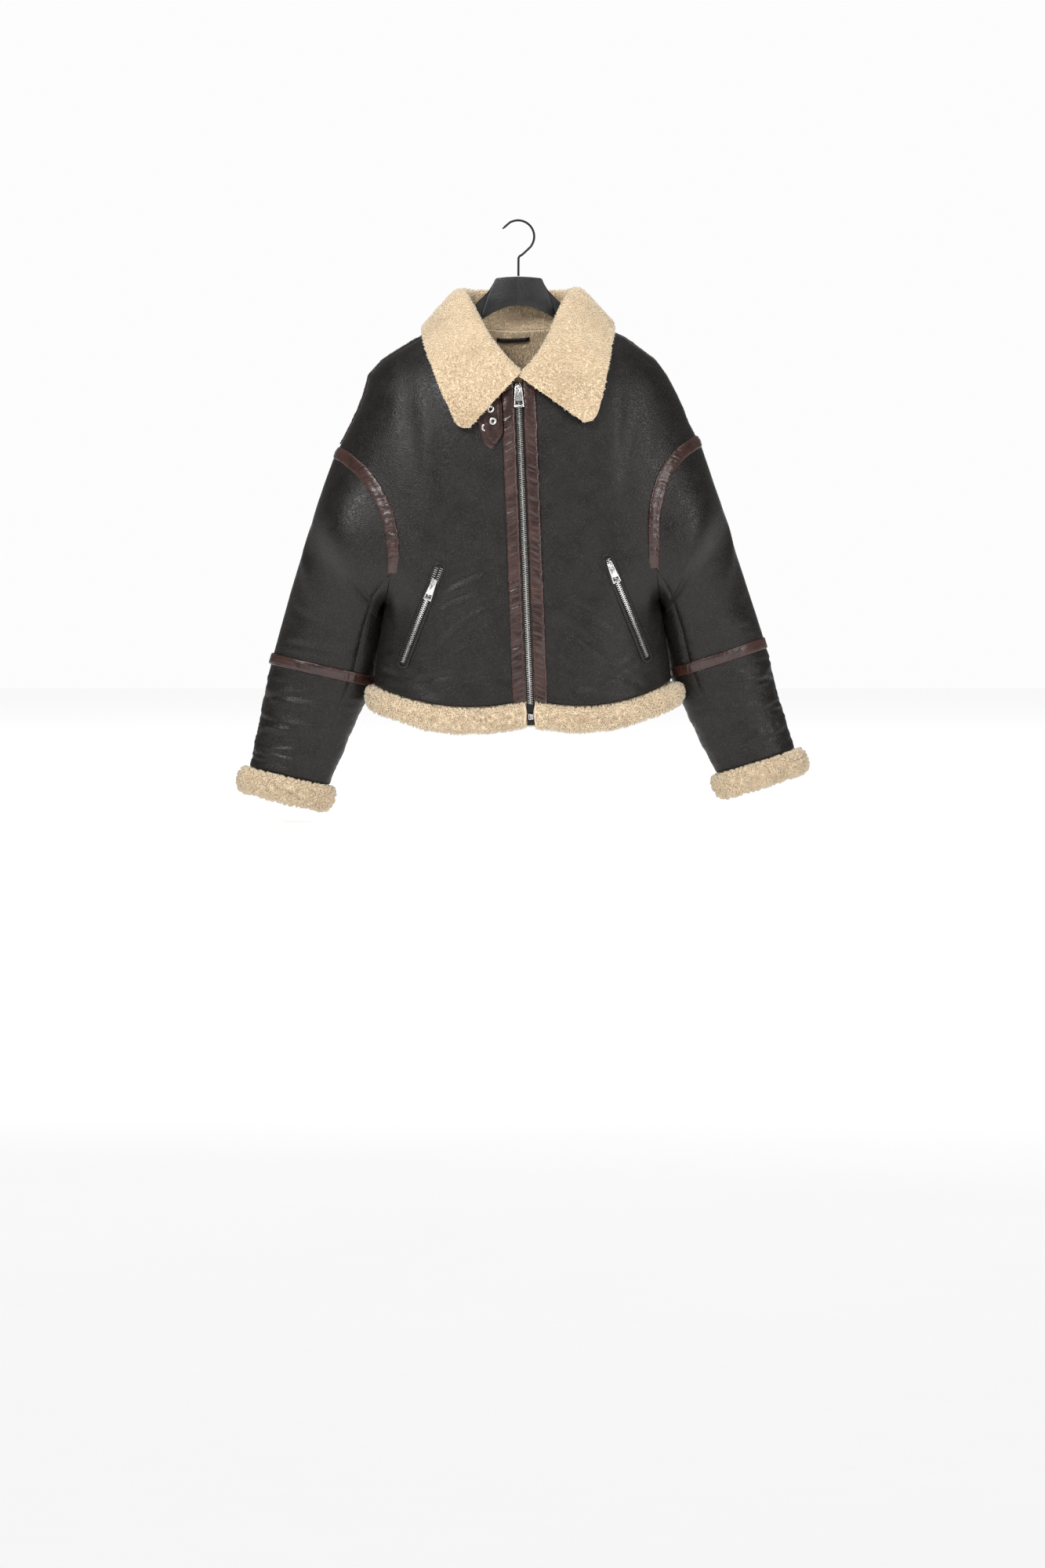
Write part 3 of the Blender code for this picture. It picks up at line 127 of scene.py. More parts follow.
# Pocket zips, for each side: top and bottom of the teeth, and the slider's place down the line
POCKETS = {
    "right": {"top": (-119.0, -527.0), "foot": (-174.0, -671.0), "slider": 24.0},
    "left": {"top": (135.6, -514.0), "foot": (194.6, -662.0), "slider": 10.0},
}
POCKET_TEETH_HALF = 3.8
POCKET_WELT_INNER = 4.6
POCKET_WELT_OUTER = 9.0
POCKET_WELT_THICK = 2.0
POCKET_SCALE = 0.86
POCKET_GAP = 1.3
# How far each row of teeth stands off the middle where the right pocket's zip is open
POCKET_PARTED = 2.3

# Pull tabs: length below the bar, width at the bar and at the foot, window
MAIN_TAB = {"length": 31.0, "top": 10.0, "foot": 15.0, "window": (11.5, 6.3)}
POCKET_TAB = {"length": 28.0, "top": 8.6, "foot": 12.6, "window": (8.6, 5.4)}
TAB_THICK = 1.8
BAR_OUT = 4.5
HARDWARE_GAP = 0.4
PLATE_THICK = 3.0

# Rows of the body panels from hem to shoulder: share of the way up, and the height of the
# row at the centre front and at the centre back. The last four rows start on the neckline.
ROW_SHARE = (0.0, 0.06, 0.13, 0.20, 0.27, 0.34, 0.42, 0.51, 0.60, 0.69, 0.77, 0.83, 0.89, 0.95, 1.0)
FRONT_HEIGHT = (-727, -690, -648, -605, -560, -512, -458, -398, -341, -290, -243)
BACK_HEIGHT = (-731, -690, -643, -596, -548, -498, -443, -380, -310, -240, -172)
ARMPIT_ROW = 3
NECK_ROW = 10
LAST_ROW = 14

# Neckline after its centre point: distance from the middle, height
NECK_FRONT = ((30, -226), (58, -203), (82, -180))
NECK_BACK = ((32, -170), (62, -166), (88, -160))
# Side seam up to the armpit, then the armhole up to the shoulder: distance from the middle, height
OUTER_EDGE = {
    "right": (
        (221, -705), (216, -668), (210, -625), (205, -583), (199, -567),
        (193, -535), (190, -495), (197, -450), (207, -425), (220, -402),
        (235, -383), (250, -370), (262, -360), (271, -355), (277, -352),
    ),
    "left": (
        (233, -700), (230, -664), (223, -622), (216, -577), (213, -560),
        (209, -527), (207, -485), (208, -437), (216, -402), (226, -379),
        (238, -363), (250, -351), (261, -343), (270, -337), (276, -334),
    ),
}
# Shoulder ridge from the neck to the armhole: distance from the middle, height
SHOULDER = {
    "right": (
        (104, -157), (125, -166), (151, -178), (168, -187), (205, -211), (227, -235),
        (233, -259), (242, -283), (253, -307), (265, -331), (277, -352),
    ),
    "left": (
        (104, -152), (125, -160), (146, -169), (161, -175), (178, -187), (210, -211),
        (227, -235), (240, -259), (251, -283), (260, -307), (270, -325), (276, -334),
    ),
}
RIDGE_MIDDLE = (0.0, -115.0)
# Sleeve sections below the armhole: outer edge (out, height), inner edge (out, height),
# middle y, half depth. The fourth is the elbow seam and the last is the cuff line.
SLEEVE = {
    "right": (
        (301, -418, 210, -592, -6, 70),
        (327, -499, 209, -612, 20, 62),
        (353, -583, 211, -652, 34, 54),
        (377, -667, 219, -702, 40, 48),
        (392, -735, 247, -760, 38, 43),
        (402, -790, 268, -812, 34, 39),
        (411, -831, 288, -860, 30, 36),
    ),
    "left": (
        (300, -405, 222, -588, -6, 70),
        (325, -478, 222, -608, 20, 62),
        (352, -561, 225, -646, 34, 54),
        (377, -643, 232, -690, 40, 48),
        (391, -698, 257, -748, 38, 43),
        (406, -751, 281, -797, 34, 39),
        (423, -804, 303, -842, 30, 36),
    ),
}
ELBOW = 4.0
CUFF = 7.0
UNDER_SEAM_ROW = 5
# Share of the half turn from the outer edge at which the under sleeve starts, per section
UNDER_SHARE = (0.0, 0.78, 0.74, 0.70, 0.69, 0.69, 0.69, 0.69)
# Collar sections from the centre front to the centre back. Roll: the top of the fold.
# Edge: the fall's free edge. Neck: the place along the neckline, in rows (10 is the centre
# front, 14 the shoulder, 18 the centre back).
COLLAR = {
    "right": (
        (10.0, (0, -100, -239), (-73, -101, -317)),
        (10.5, (-14, -98, -226), (-85, -101, -317)),
        (11.0, (-26, -95, -215), (-96, -100, -309)),
        (11.6, (-38, -90, -203), (-106, -99, -286)),
        (12.2, (-51, -81, -187), (-119, -95, -259)),
        (12.8, (-61, -69, -168), (-131, -86, -226)),
        (13.3, (-71, -51, -147), (-141, -60, -198)),
        (13.7, (-82, -28, -126), (-146, -24, -174)),
        (14.0, (-92, -2, -110), (-142, 13, -161)),
        (14.6, (-90, 26, -107), (-122, 44, -174)),
        (15.6, (-68, 47, -108), (-88, 60, -188)),
        (16.8, (-36, 58, -108), (-46, 69, -195)),
    ),
    "left": (
        (10.0, (9, -100, -246), (99, -101, -309)),
        (10.5, (23, -98, -230), (112, -101, -306)),
        (11.0, (36, -95, -216), (121, -100, -296)),
        (11.6, (48, -90, -201), (127, -98, -274)),
        (12.2, (57, -81, -183), (133, -93, -250)),
        (12.8, (64, -69, -163), (138, -83, -222)),
        (13.3, (71, -51, -143), (142, -58, -196)),
        (13.7, (81, -28, -122), (146, -24, -170)),
        (14.0, (92, -2, -107), (142, 13, -156)),
        (14.6, (90, 26, -106), (122, 44, -172)),
        (15.6, (68, 47, -108), (88, 60, -188)),
        (16.8, (36, 58, -108), (46, 69, -195)),
    ),
}
COLLAR_BACK = (18.0, (0, 62, -108), (0, 72, -197))
# Soft folds of the body: x, height, angle from the vertical in degrees, half length,
# half width, depth (a minus sign raises a ridge)
FRONT_FOLDS = (
    (-166, -300, 6, 90, 16, 3.5),
    (-140, -330, 3, 80, 14, -2.0),
    (172, -290, -8, 90, 16, 3.5),
    (148, -330, -4, 80, 14, -2.0),
    (-150, -700, 62, 45, 12, 2.5),
    (-60, -640, 40, 70, 16, 2.0),
    (120, -690, -58, 50, 12, 2.5),
    (70, -620, -30, 75, 16, 2.0),
)
BACK_FOLDS = (
    (-160, -310, 8, 95, 18, 3.5),
    (165, -310, -8, 95, 18, 3.5),
    (-90, -640, 35, 80, 16, 2.5),
    (60, -600, -28, 90, 18, 2.5),
    (0, -420, 4, 120, 20, -2.0),
    (140, -680, -55, 50, 13, 2.5),
    (-150, -560, 50, 60, 14, 2.5),
)
# Soft folds of a sleeve: place down the sleeve in sections, turn from the outer edge in
# degrees, slant in sections per radian, half length in degrees, half width in sections, depth
SLEEVE_FOLDS = (
    (2.2, 60, 0.5, 55, 0.22, 2.5),
    (3.4, 110, -0.3, 60, 0.20, 2.5),
    (4.7, 75, 0.3, 70, 0.20, 2.5),
    (5.5, 100, -0.2, 70, 0.20, 2.5),
    (6.2, 60, 0.2, 60, 0.20, 2.0),
    (2.8, 250, -0.4, 60, 0.22, 2.5),
    (4.6, 280, 0.3, 70, 0.20, 2.5),
    (5.8, 240, -0.2, 70, 0.20, 2.5),
)
SIDES = ("right", "left")
SIGN = {"right": -1.0, "left": 1.0}
# Pieces by the node they stand for: those fixed to the jacket, and the pull tabs
made = {}
tabs = {}


# Vectors, curves and the garment's surfaces, as in the part


def unit(vectors):
    lengths = np.linalg.norm(vectors, axis=-1, keepdims=True)
    return vectors / np.maximum(lengths, 1e-9)


def smooth(table, places):
    """A smooth curve through the rows of a table, at places counted in rows."""
    points = np.asarray(table, float)
    places = np.clip(np.asarray(places, float), 0, len(points) - 1)
    first = np.minimum(places.astype(int), len(points) - 2)
    share = (places - first).reshape(places.shape + (1,) * (points.ndim - 1))
    before = np.where((first > 0).reshape(share.shape), points[np.maximum(first - 1, 0)],
                      2 * points[first] - points[first + 1])
    last = np.minimum(first + 2, len(points) - 1)
    after = np.where((first + 2 < len(points)).reshape(share.shape), points[last],
                     2 * points[first + 1] - points[first])
    start = (points[first + 1] - before) / 2
    end = (after - points[first]) / 2
    step = points[first + 1] - points[first]
    return (points[first] + share * start + share ** 2 * (3 * step - 2 * start - end)
            + share ** 3 * (start + end - 2 * step))


def lengths_along(points):
    steps = np.linalg.norm(np.diff(points, axis=0), axis=1)
    return np.concatenate([[0.0], np.cumsum(steps)])


def values_at(places, run, values):
    """Rows of values, found between the rows of a table at places along its run."""
    return np.stack([np.interp(places, run, column) for column in values.T], axis=-1)


def smooth_distance(x, z, line):
    """The distance to a bent line in the front view, rounded off where the line bends."""
    total = np.zeros(np.shape(x))
    for (ax, az), (bx, bz) in zip(line[:-1], line[1:]):
        length = math.hypot(bx - ax, bz - az)
        ux = (bx - ax) / length
        uz = (bz - az) / length
        start = (ax - x) * ux + (az - z) * uz
        away = np.maximum(np.abs((ax - x) * uz - (az - z) * ux), 0.4)

        def part(s):
            return s / (2 * away ** 2 * (away ** 2 + s ** 2)) + np.arctan(s / away) / (2 * away ** 3)

        total += part(start + length) - part(start)
    return (2 * total / math.pi) ** (-1 / 3)


def roll(share):
    """Rises from nothing, upright at first, and levels out at one."""
    return np.sqrt(1 - (1 - np.clip(share, 0, 1)) ** 2)


def zip_x(z):
    return ZIP_TOP_X + ZIP_LEAN * (ZIP_TOP_Z - z)


def ridge_line():
    """The outline from one cuff over both shoulders to the other cuff."""
    halves = []
    for side in SIDES:
        outer = list(SHOULDER[side]) + [(row[0], row[1]) for row in SLEEVE[side]]
        halves.append([(SIGN[side] * x, z) for x, z in outer])
    return halves[0][::-1] + [RIDGE_MIDDLE] + halves[1]


def side_line(side):
    sign = SIGN[side]
    seam = OUTER_EDGE[side][: ARMPIT_ROW + 1]
    below = (seam[0][0] + 6.0, seam[0][1] - 60.0)
    return [(sign * x, z) for x, z in (below, *seam)]


def fold_depth(x, z, folds):
    depth = np.zeros(np.shape(x))
    for fx, fz, angle, half_length, half_width, deep in folds:
        turn = math.radians(angle)
        along = -(x - fx) * math.sin(turn) + (z - fz) * math.cos(turn)
        across = (x - fx) * math.cos(turn) + (z - fz) * math.sin(turn)
        depth += deep * np.exp(-(across / half_width) ** 2 - (along / half_length) ** 2)
    return depth


def body_y(x, z, face):
    """The depth of the body's outer face: front is -1 and back is 1."""
    height = roll(smooth_distance(x, z, ridge_line()) / RIDGE_ROLL)
    for side in SIDES:
        height = height * roll(smooth_distance(x, z, side_line(side)) / SIDE_ROLL)
    if face < 0:
        return -(FRONT_DEPTH * height - fold_depth(x, z, FRONT_FOLDS) * height ** 2)
    return BACK_DEPTH * height - fold_depth(x, z, BACK_FOLDS) * height ** 2


def inner_edge(side, face, rows):
    """Centre front or back, then the neckline, at places counted in rows."""
    sign = SIGN[side]
    heights = FRONT_HEIGHT if face < 0 else BACK_HEIGHT
    neck = NECK_FRONT if face < 0 else NECK_BACK
    z = smooth([[h] for h in heights], rows)[:, 0]
    x = zip_x(z) + sign * ZIP_HALF if face < 0 else np.zeros(len(rows))
    start = (abs(zip_x(heights[-1]) + sign * ZIP_HALF) if face < 0 else 0.0, heights[-1])
    neckline = smooth([start, *neck, SHOULDER[side][0]], rows - NECK_ROW)
    above = rows > NECK_ROW
    return np.stack([np.where(above, sign * neckline[:, 0], x),
                     np.where(above, neckline[:, 1], z)], axis=1)


def outer_edge(side, rows):
    """Side seam and armhole at places counted in rows, with a corner at the armpit."""
    table = OUTER_EDGE[side]
    seam = smooth(table[: ARMPIT_ROW + 1], rows)
    armhole = smooth(table[ARMPIT_ROW:], rows - ARMPIT_ROW)
    edge = np.where((rows > ARMPIT_ROW)[:, None], armhole, seam)
    return edge * (SIGN[side], 1.0)


def shoulder_edge(side, shares):
    table = np.asarray(SHOULDER[side], float)
    run = lengths_along(table)
    places = np.interp(np.asarray(shares) * run[-1], run, np.arange(len(table)))
    return smooth(table, places) * (SIGN[side], 1.0)


def body_points(side, face, rows, shares):
    """Outer face of one half of the front or back: rows up it, shares from centre to side."""
    rows = np.asarray(rows, float)
    shares = np.asarray(shares, float)
    up = np.interp(rows, np.arange(len(ROW_SHARE)), ROW_SHARE)[:, None, None]
    across = shares[None, :, None]
    inner = inner_edge(side, face, rows)[:, None, :]
    outer = outer_edge(side, rows)[:, None, :]
    low_in = inner_edge(side, face, np.zeros(1))[None]
    low_out = outer_edge(side, np.zeros(1))[None]
    high_in = inner_edge(side, face, np.full(1, float(LAST_ROW)))[None]
    high_out = outer_edge(side, np.full(1, float(LAST_ROW)))[None]
    hem = low_in + (low_out - low_in) * across
    hem = hem - np.stack([np.zeros_like(shares), HEM_BOW[face] * 4 * shares * (1 - shares)], axis=1)[None]
    top = shoulder_edge(side, shares)[None]
    corners = ((1 - up) * ((1 - across) * low_in + across * low_out)
               + up * ((1 - across) * high_in + across * high_out))
    flat = (1 - up) * hem + up * top + (1 - across) * inner + across * outer - corners
    x = flat[..., 0]
    z = flat[..., 1]
    y = body_y(x, z, face)
    y = np.where((rows[:, None] >= LAST_ROW) | ((across[..., 0] >= 1) & (rows[:, None] <= ARMPIT_ROW)),
                 0.0, y)
    return np.stack([x, y, z], axis=-1)


def sleeve_points(side, places, turns):
    """Outer face of a sleeve. Places run from 0, the armhole, to 7, the cuff line. Turns run
    from 0, the shoulder, over 1, the armpit, back to 2 behind, counted in half turns."""
    sign = SIGN[side]
    turns = np.asarray(turns, float)
    places = np.asarray(places, float)
    front = turns <= 1
    half = np.where(front, turns, 2 - turns)
    span = LAST_ROW - ARMPIT_ROW
    edge = outer_edge(side, LAST_ROW - span * half)
    y = np.where(front, body_y(edge[:, 0], edge[:, 1], -1), body_y(edge[:, 0], edge[:, 1], 1))
    y = np.where((half <= 0) | (half >= 1), 0.0, y)
    rings = [np.stack([edge[:, 0], y, edge[:, 1]], axis=1)]
    fine = np.linspace(0, 1, 67)
    run = lengths_along(outer_edge(side, LAST_ROW - span * fine))
    share = np.interp(half, fine, run / run[-1])
    seam_half = (LAST_ROW - UNDER_SEAM_ROW) / span
    seam_share = np.interp(seam_half, fine, run / run[-1])
    for ring, (ox, oz, ix, iz, middle, depth) in enumerate(SLEEVE[side], 1):
        target = UNDER_SHARE[ring]
        turned = np.where(share < seam_share, share * target / seam_share,
                          1 - (1 - share) * (1 - target) / (1 - seam_share))
        angle = math.pi * turned
        out = (1 + np.cos(angle)) / 2
        x = ix + (ox - ix) * out
        z = iz + (oz - iz) * out
        across = np.where(front, -1.0, 1.0) * np.sin(angle)
        rings.append(np.stack([sign * x, middle + depth * across, z], axis=1))
    surface = smooth(rings, places)
    return surface - sleeve_folds(places, turns)[..., None] * grid_normals(surface, sign)


def sleeve_folds(places, turns):
    place = places[:, None]
    turn = np.asarray(turns)[None, :] * 180.0
    depth = np.zeros((len(places), len(turns)))
    for middle, centre, slant, half_length, half_width, deep in SLEEVE_FOLDS:
        away = (turn - centre + 180) % 360 - 180
        across = place - middle - slant * np.radians(away)
        depth += deep * np.exp(-(across / half_width) ** 2 - (away / half_length) ** 2)
    return depth * np.clip(place, 0, 1) * np.clip((CUFF - place) * 2, 0, 1)


def grid_normals(points, sign):
    """Normals of a grid of points, turned round where the sign is minus."""
    along = np.gradient(points, axis=0)
    across = np.gradient(points, axis=1)
    return unit(np.cross(along, across)) * sign


def flat_normals(points, sign):
    """Outward normals of a line in the plane y = 0."""
    along = np.gradient(points, axis=0)
    normals = np.stack([-along[:, 2], np.zeros(len(points)), along[:, 0]], axis=1)
    outward = normals @ np.array([sign, 0.0, 0.6])
    return unit(normals * np.where(outward < 0, -1.0, 1.0)[:, None])


# Noise, meshes and shells


class Field:
    """Smooth noise between about -1 and 1."""

    def __init__(self, seed):
        chance = np.random.default_rng(seed)
        self.order = chance.permutation(256)
        self.slopes = unit(chance.normal(size=(256, 3)))

    def at(self, points, cell):
        places = np.asarray(points, float) / cell
        base = np.floor(places).astype(int)
        part = places - base
        ease = part ** 3 * (part * (part * 6 - 15) + 10)
        total = np.zeros(places.shape[:-1])
        for corner in itertools.product((0, 1), repeat=3):
            spot = base + corner
            pick = self.order[spot[..., 0] & 255]
            pick = self.order[(pick + spot[..., 1]) & 255]
            pick = self.order[(pick + spot[..., 2]) & 255]
            value = np.sum(self.slopes[pick] * (part - corner), axis=-1)
            total += value * np.prod(np.where(corner, ease, 1 - ease), axis=-1)
        return total * 1.7


SOFT = Field(11)
CRUSH = Field(23)
PATCH = Field(37)


def ease_in(values, low, high):
    share = np.clip((values - low) / (high - low), 0, 1)
    return share * share * (3 - 2 * share)


def add_mesh(name, points, groups, looks, tones_and_depth_shade=None, smooth_shade=True):
    """An object from points in millimetres and groups of faces, each group with its own look."""
    mesh = bpy.data.meshes.new(name)
    mesh.vertices.add(len(points))
    mesh.vertices.foreach_set("co", (np.asarray(points) * MM).astype(np.float32).ravel())
    corners = np.concatenate([np.asarray(faces).ravel() for _, faces in groups])
    sizes = np.concatenate([np.full(len(faces), np.asarray(faces).shape[1]) for _, faces in groups])
    index = np.concatenate([np.full(len(faces), look) for look, faces in groups])
    mesh.loops.add(len(corners))
    mesh.loops.foreach_set("vertex_index", corners.astype(np.int32))
    mesh.polygons.add(len(sizes))
    mesh.polygons.foreach_set("loop_start", np.concatenate([[0], np.cumsum(sizes)[:-1]]).astype(np.int32))
    for look in looks:
        mesh.materials.append(look)
    mesh.polygons.foreach_set("material_index", index.astype(np.int32))
    mesh.update(calc_edges=True)
    if smooth_shade:
        mesh.shade_smooth()
    # The wool's per-point values: random lightness, with painted shade at the tufts' feet and in the skin's
    # hollows
    if tones_and_depth_shade is not None:
        tone_and_depth_shade = mesh.attributes.new("tone_and_depth_shade", "FLOAT", "POINT")
        tone_and_depth_shade.data.foreach_set("value", np.asarray(tones_and_depth_shade, np.float32))
    made = bpy.data.objects.new(name, mesh)
    bpy.context.scene.collection.objects.link(made)
    return made


def grid_quads(ids):
    return np.stack([ids[:-1, :-1], ids[:-1, 1:], ids[1:, 1:], ids[1:, :-1]], axis=-1).reshape(-1, 4)


def shell(points, normals, thickness, step=1, closed=False):
    """A closed wall under a grid of points. Its second face is laid out more coarsely by the
    step. A closed grid's last column repeats its first. Returns points, outer, inner and edge faces."""
    rows, columns = points.shape[:2]
    ids = np.arange(rows * columns).reshape(rows, columns)
    inner_at = (points - normals * np.asarray(thickness)[..., None])[::step, ::step]
    inner = rows * columns + np.arange(inner_at.shape[0] * inner_at.shape[1]).reshape(inner_at.shape[:2])
    if closed:
        ids[:, -1] = ids[:, 0]
        inner[:, -1] = inner[:, 0]
    outer_faces = grid_quads(ids)
    inner_faces = grid_quads(inner)[:, ::-1]
    runs = [(ids[0], inner[0]), (ids[-1, ::-1], inner[-1, ::-1])]
    if not closed:
        runs += [(ids[:, -1], inner[:, -1]), (ids[::-1, 0], inner[::-1, 0])]
    middle = (step + 1) // 2
    strips = []
    for fine, coarse in runs:
        for k in range(len(coarse) - 1):
            for j in range(step):
                foot = coarse[k] if j < middle else coarse[k + 1]
                strips.append((fine[k * step + j + 1], fine[k * step + j], foot))
            strips.append((coarse[k], coarse[k + 1], fine[k * step + middle]))
    strips = np.array(strips)
    a, b, c, _ = outer_faces[len(outer_faces) // 2]
    flat = points.reshape(-1, 3)
    facing = np.cross(flat[b] - flat[a], flat[c] - flat[a])
    if np.dot(facing, normals.reshape(-1, 3)[a]) < 0:
        outer_faces = outer_faces[:, ::-1]
        inner_faces = inner_faces[:, ::-1]
        strips = strips[:, ::-1]
    return np.concatenate([flat, inner_at.reshape(-1, 3)]), outer_faces, inner_faces, strips


def border_distance(points, sides=("low", "high", "start", "end")):
    """How far each point of a grid lies from the named borders, along the grid."""
    down = np.linalg.norm(np.diff(points, axis=0), axis=2)
    across = np.linalg.norm(np.diff(points, axis=1), axis=2)
    zero_row = np.zeros((1, points.shape[1]))
    zero_column = np.zeros((points.shape[0], 1))
    low = np.concatenate([zero_row, np.cumsum(down, axis=0)])
    start = np.concatenate([zero_column, np.cumsum(across, axis=1)], axis=1)
    found = {"low": low, "high": low[-1:] - low, "start": start, "end": start[:, -1:] - start}
    return np.min([found[side] for side in sides], axis=0)


# The leather's relief

DRAPE_CELL = np.array([75.0, 60.0, 150.0])
RIPPLE_CELL = np.array([24.0, 24.0, 46.0])
CRUSH_CELL = np.array([15.0, 15.0, 15.0])
PATCH_CELL = np.array([70.0, 60.0, 70.0])
SEAM_REACH = 3.2
SEAM_SINK = 1.2


def crease_depth(first, second, creases):
    """Narrow creases laid in two coordinates: place, angle in degrees, half sizes, depth, bow."""
    depth = np.zeros(np.shape(first))
    for x, z, angle, half_length, half_width, deep, bow in creases:
        turn = math.radians(angle)
        along = -(first - x) * math.sin(turn) + (second - z) * math.cos(turn)
        across = (first - x) * math.cos(turn) + (second - z) * math.sin(turn)
        across = across - bow * (along / half_length) ** 2 * half_length
        side = across / half_width
        fade = np.exp(-(along / half_length) ** 4)
        depth += deep * fade * (np.exp(-side ** 2) - 0.45 * np.exp(-(np.abs(side) - 1.9) ** 2))
    return depth


def crushed(points, cell, field=CRUSH):
    """Thin valleys between low cushions, as in soft leather that has been folded."""
    warp = np.stack([SOFT.at(points + shift, cell * 2.2) for shift in (0.0, 91.0, 173.0)], axis=-1)
    wave = field.at(points + warp * cell * 0.9, cell)
    return np.exp(-(wave / 0.16) ** 2)


def leather_relief(points, amount):
    """Soft drape, ripples and patches of fine creases. Amount says how crushed each point is."""
    drape = SOFT.at(points, DRAPE_CELL) * 1.3
    ripple = SOFT.at(points + 40.0, RIPPLE_CELL) * 0.32
    patch = ease_in(PATCH.at(points, PATCH_CELL) + amount, 0.15, 0.75)
    fine = crushed(points, CRUSH_CELL) * 0.42 + crushed(points + 55.0, CRUSH_CELL * 0.55) * 0.2
    return drape + ripple - patch * fine


def seam_sunk(points, normals, relief, distance, reach=14.0):
    """Relief faded out at the borders, with the edge itself rolled down into the seam."""
    fade = ease_in(distance, 0.0, reach)
    sink = SEAM_SINK * (1 - np.clip(distance / SEAM_REACH, 0, 1)) ** 2
    return points + normals * (relief * fade - sink)[..., None]


# Wool

# Tufts of each wool: length, base radius, clump spacing, pull to the clump, curl
WOOL_LOOK = {
    "collar": (3.3, 1.25, 3.4, 0.40, 0.9),
    "band": (4.6, 1.45, 6.0, 0.62, 1.0),
    "lining": (3.4, 1.0, 4.2, 0.40, 0.9),
}
# Tufts on each piece, and the seed they are scattered with
HEM_TUFTS = (29000, 5)
CUFF_TUFTS = {"right": (13500, 6), "left": (13500, 7)}
COLLAR_TUFTS = (35000, 9)
LINING_TUFTS = (9000, 10)


def wool_tufts(points, quads, normals, count, seed, look):
    """Closed spikes gathered in clumps on a skin: points, triangles, and a value per point from a dark foot,
    painted shade deep in the pile, to a light tip.
    """
    length, radius, spacing, pull, curl = look
    chance = np.random.default_rng(seed)
    corners = points[quads]
    area = np.linalg.norm(np.cross(corners[:, 2] - corners[:, 0], corners[:, 3] - corners[:, 1]), axis=1) / 2

    def scattered(number):
        spread = np.cumsum(area)
        rows = np.searchsorted(spread, (np.arange(number) + chance.random(number)) / number * spread[-1])
        rows = np.minimum(rows, len(quads) - 1)
        u, v = chance.random((2, number))
        weights = np.stack([(1 - u) * (1 - v), u * (1 - v), u * v, (1 - u) * v], axis=1)[..., None]
        at = np.sum(points[quads[rows]] * weights, axis=1)
        out = unit(np.sum(normals[quads[rows]] * weights, axis=1))
        return at, out

    at, out = scattered(count)
    clumps = max(8, int(area.sum() / spacing ** 2))
    heart, heart_out = scattered(clumps)
    sway = chance.normal(size=(clumps, 3))
    sway -= np.sum(sway * heart_out, axis=1)[:, None] * heart_out
    tree = KDTree(clumps)
    for k, place in enumerate(heart):
        tree.insert(place, k)
    tree.balance()
    near = np.array([tree.find(place)[1] for place in at])
    reach = length * (0.72 + 0.5 * chance.random(count))
    gather = heart[near] + heart_out[near] * length * 1.05 + sway[near] * curl * length * 0.35
    tip = at + out * reach[:, None] + chance.normal(size=(count, 3)) * curl * length * 0.12
    tip = tip + (gather - tip) * pull * (0.7 + 0.5 * chance.random(count))[:, None]
    side = unit(np.cross(out, chance.normal(size=(count, 3))))
    other = np.cross(out, side)
    foot = at - out * 0.7
    ring = []
    for k in range(3):
        angle = 2 * math.pi * k / 3
        ring.append(foot + radius * (math.cos(angle) * side + math.sin(angle) * other))
    made = np.stack([*ring, tip], axis=1).reshape(-1, 3)
    start = np.arange(count)[:, None] * 4
    faces = np.concatenate([start + (0, 1, 3), start + (1, 2, 3), start + (2, 0, 3), start + (0, 2, 1)])
    # Random lightness per clump and per tuft; the feet stay dark as painted shade deep in the pile, the tips
    # light
    shade = chance.random(clumps)[near] * 0.5 + chance.random(count) * 0.5
    low = 0.10 + shade * 0.35
    tones_and_depth_shade = np.stack([low, low, low, 0.60 + shade * 0.40], axis=1).ravel()
    return made, faces, tones_and_depth_shade


def add_wool(name, points, quads, normals, count, seed, look, extra):
    """A wool piece: its lumpy skin with tufts on it. Extra holds the skin's other groups of faces."""
    lumps = SOFT.at(points, 9.0) * 0.7 + CRUSH.at(points, 4.2) * 0.6 + PATCH.at(points, 2.6) * 0.5
    skin = points + normals * lumps[:, None]
    tufts, faces, tones_and_depth_shade = wool_tufts(skin, quads, normals, count, seed, look)
    # Painted shade: the skin is darker where its lumps dip
    base = 0.15 + ease_in(lumps, -1.2, 1.2) * 0.55
    every = np.concatenate([skin, tufts])
    groups = [(0, quads), (0, faces + len(skin)), *extra]
    return add_mesh(name, every, groups, [WOOL, LEATHER], np.concatenate([base, tones_and_depth_shade]))


# The fine grids of body and sleeves

ROW_STEPS = 15
NECK_STEPS = 12
SHARE_STEPS = 75
LINING_STEP = 3
UNDER_TURN = (LAST_ROW - UNDER_SEAM_ROW) / (LAST_ROW - ARMPIT_ROW)
OUTER_STEPS = 126
UNDER_STEPS = 30
UPPER_ROWS = 102
LOWER_ROWS = 57
EDGE_SHARES = (0.0, 0.004, 0.010)


def body_rows():
    low = np.linspace(0, NECK_ROW, NECK_ROW * ROW_STEPS + 1)
    high = np.linspace(NECK_ROW, LAST_ROW, (LAST_ROW - NECK_ROW) * NECK_STEPS + 1)
    return np.concatenate([low, high[1:]])


def body_shares():
    inside = np.linspace(EDGE_SHARES[-1], 1 - EDGE_SHARES[-1], SHARE_STEPS - 3)
    return np.concatenate([EDGE_SHARES[:2], inside, 1 - np.array(EDGE_SHARES[1::-1])])


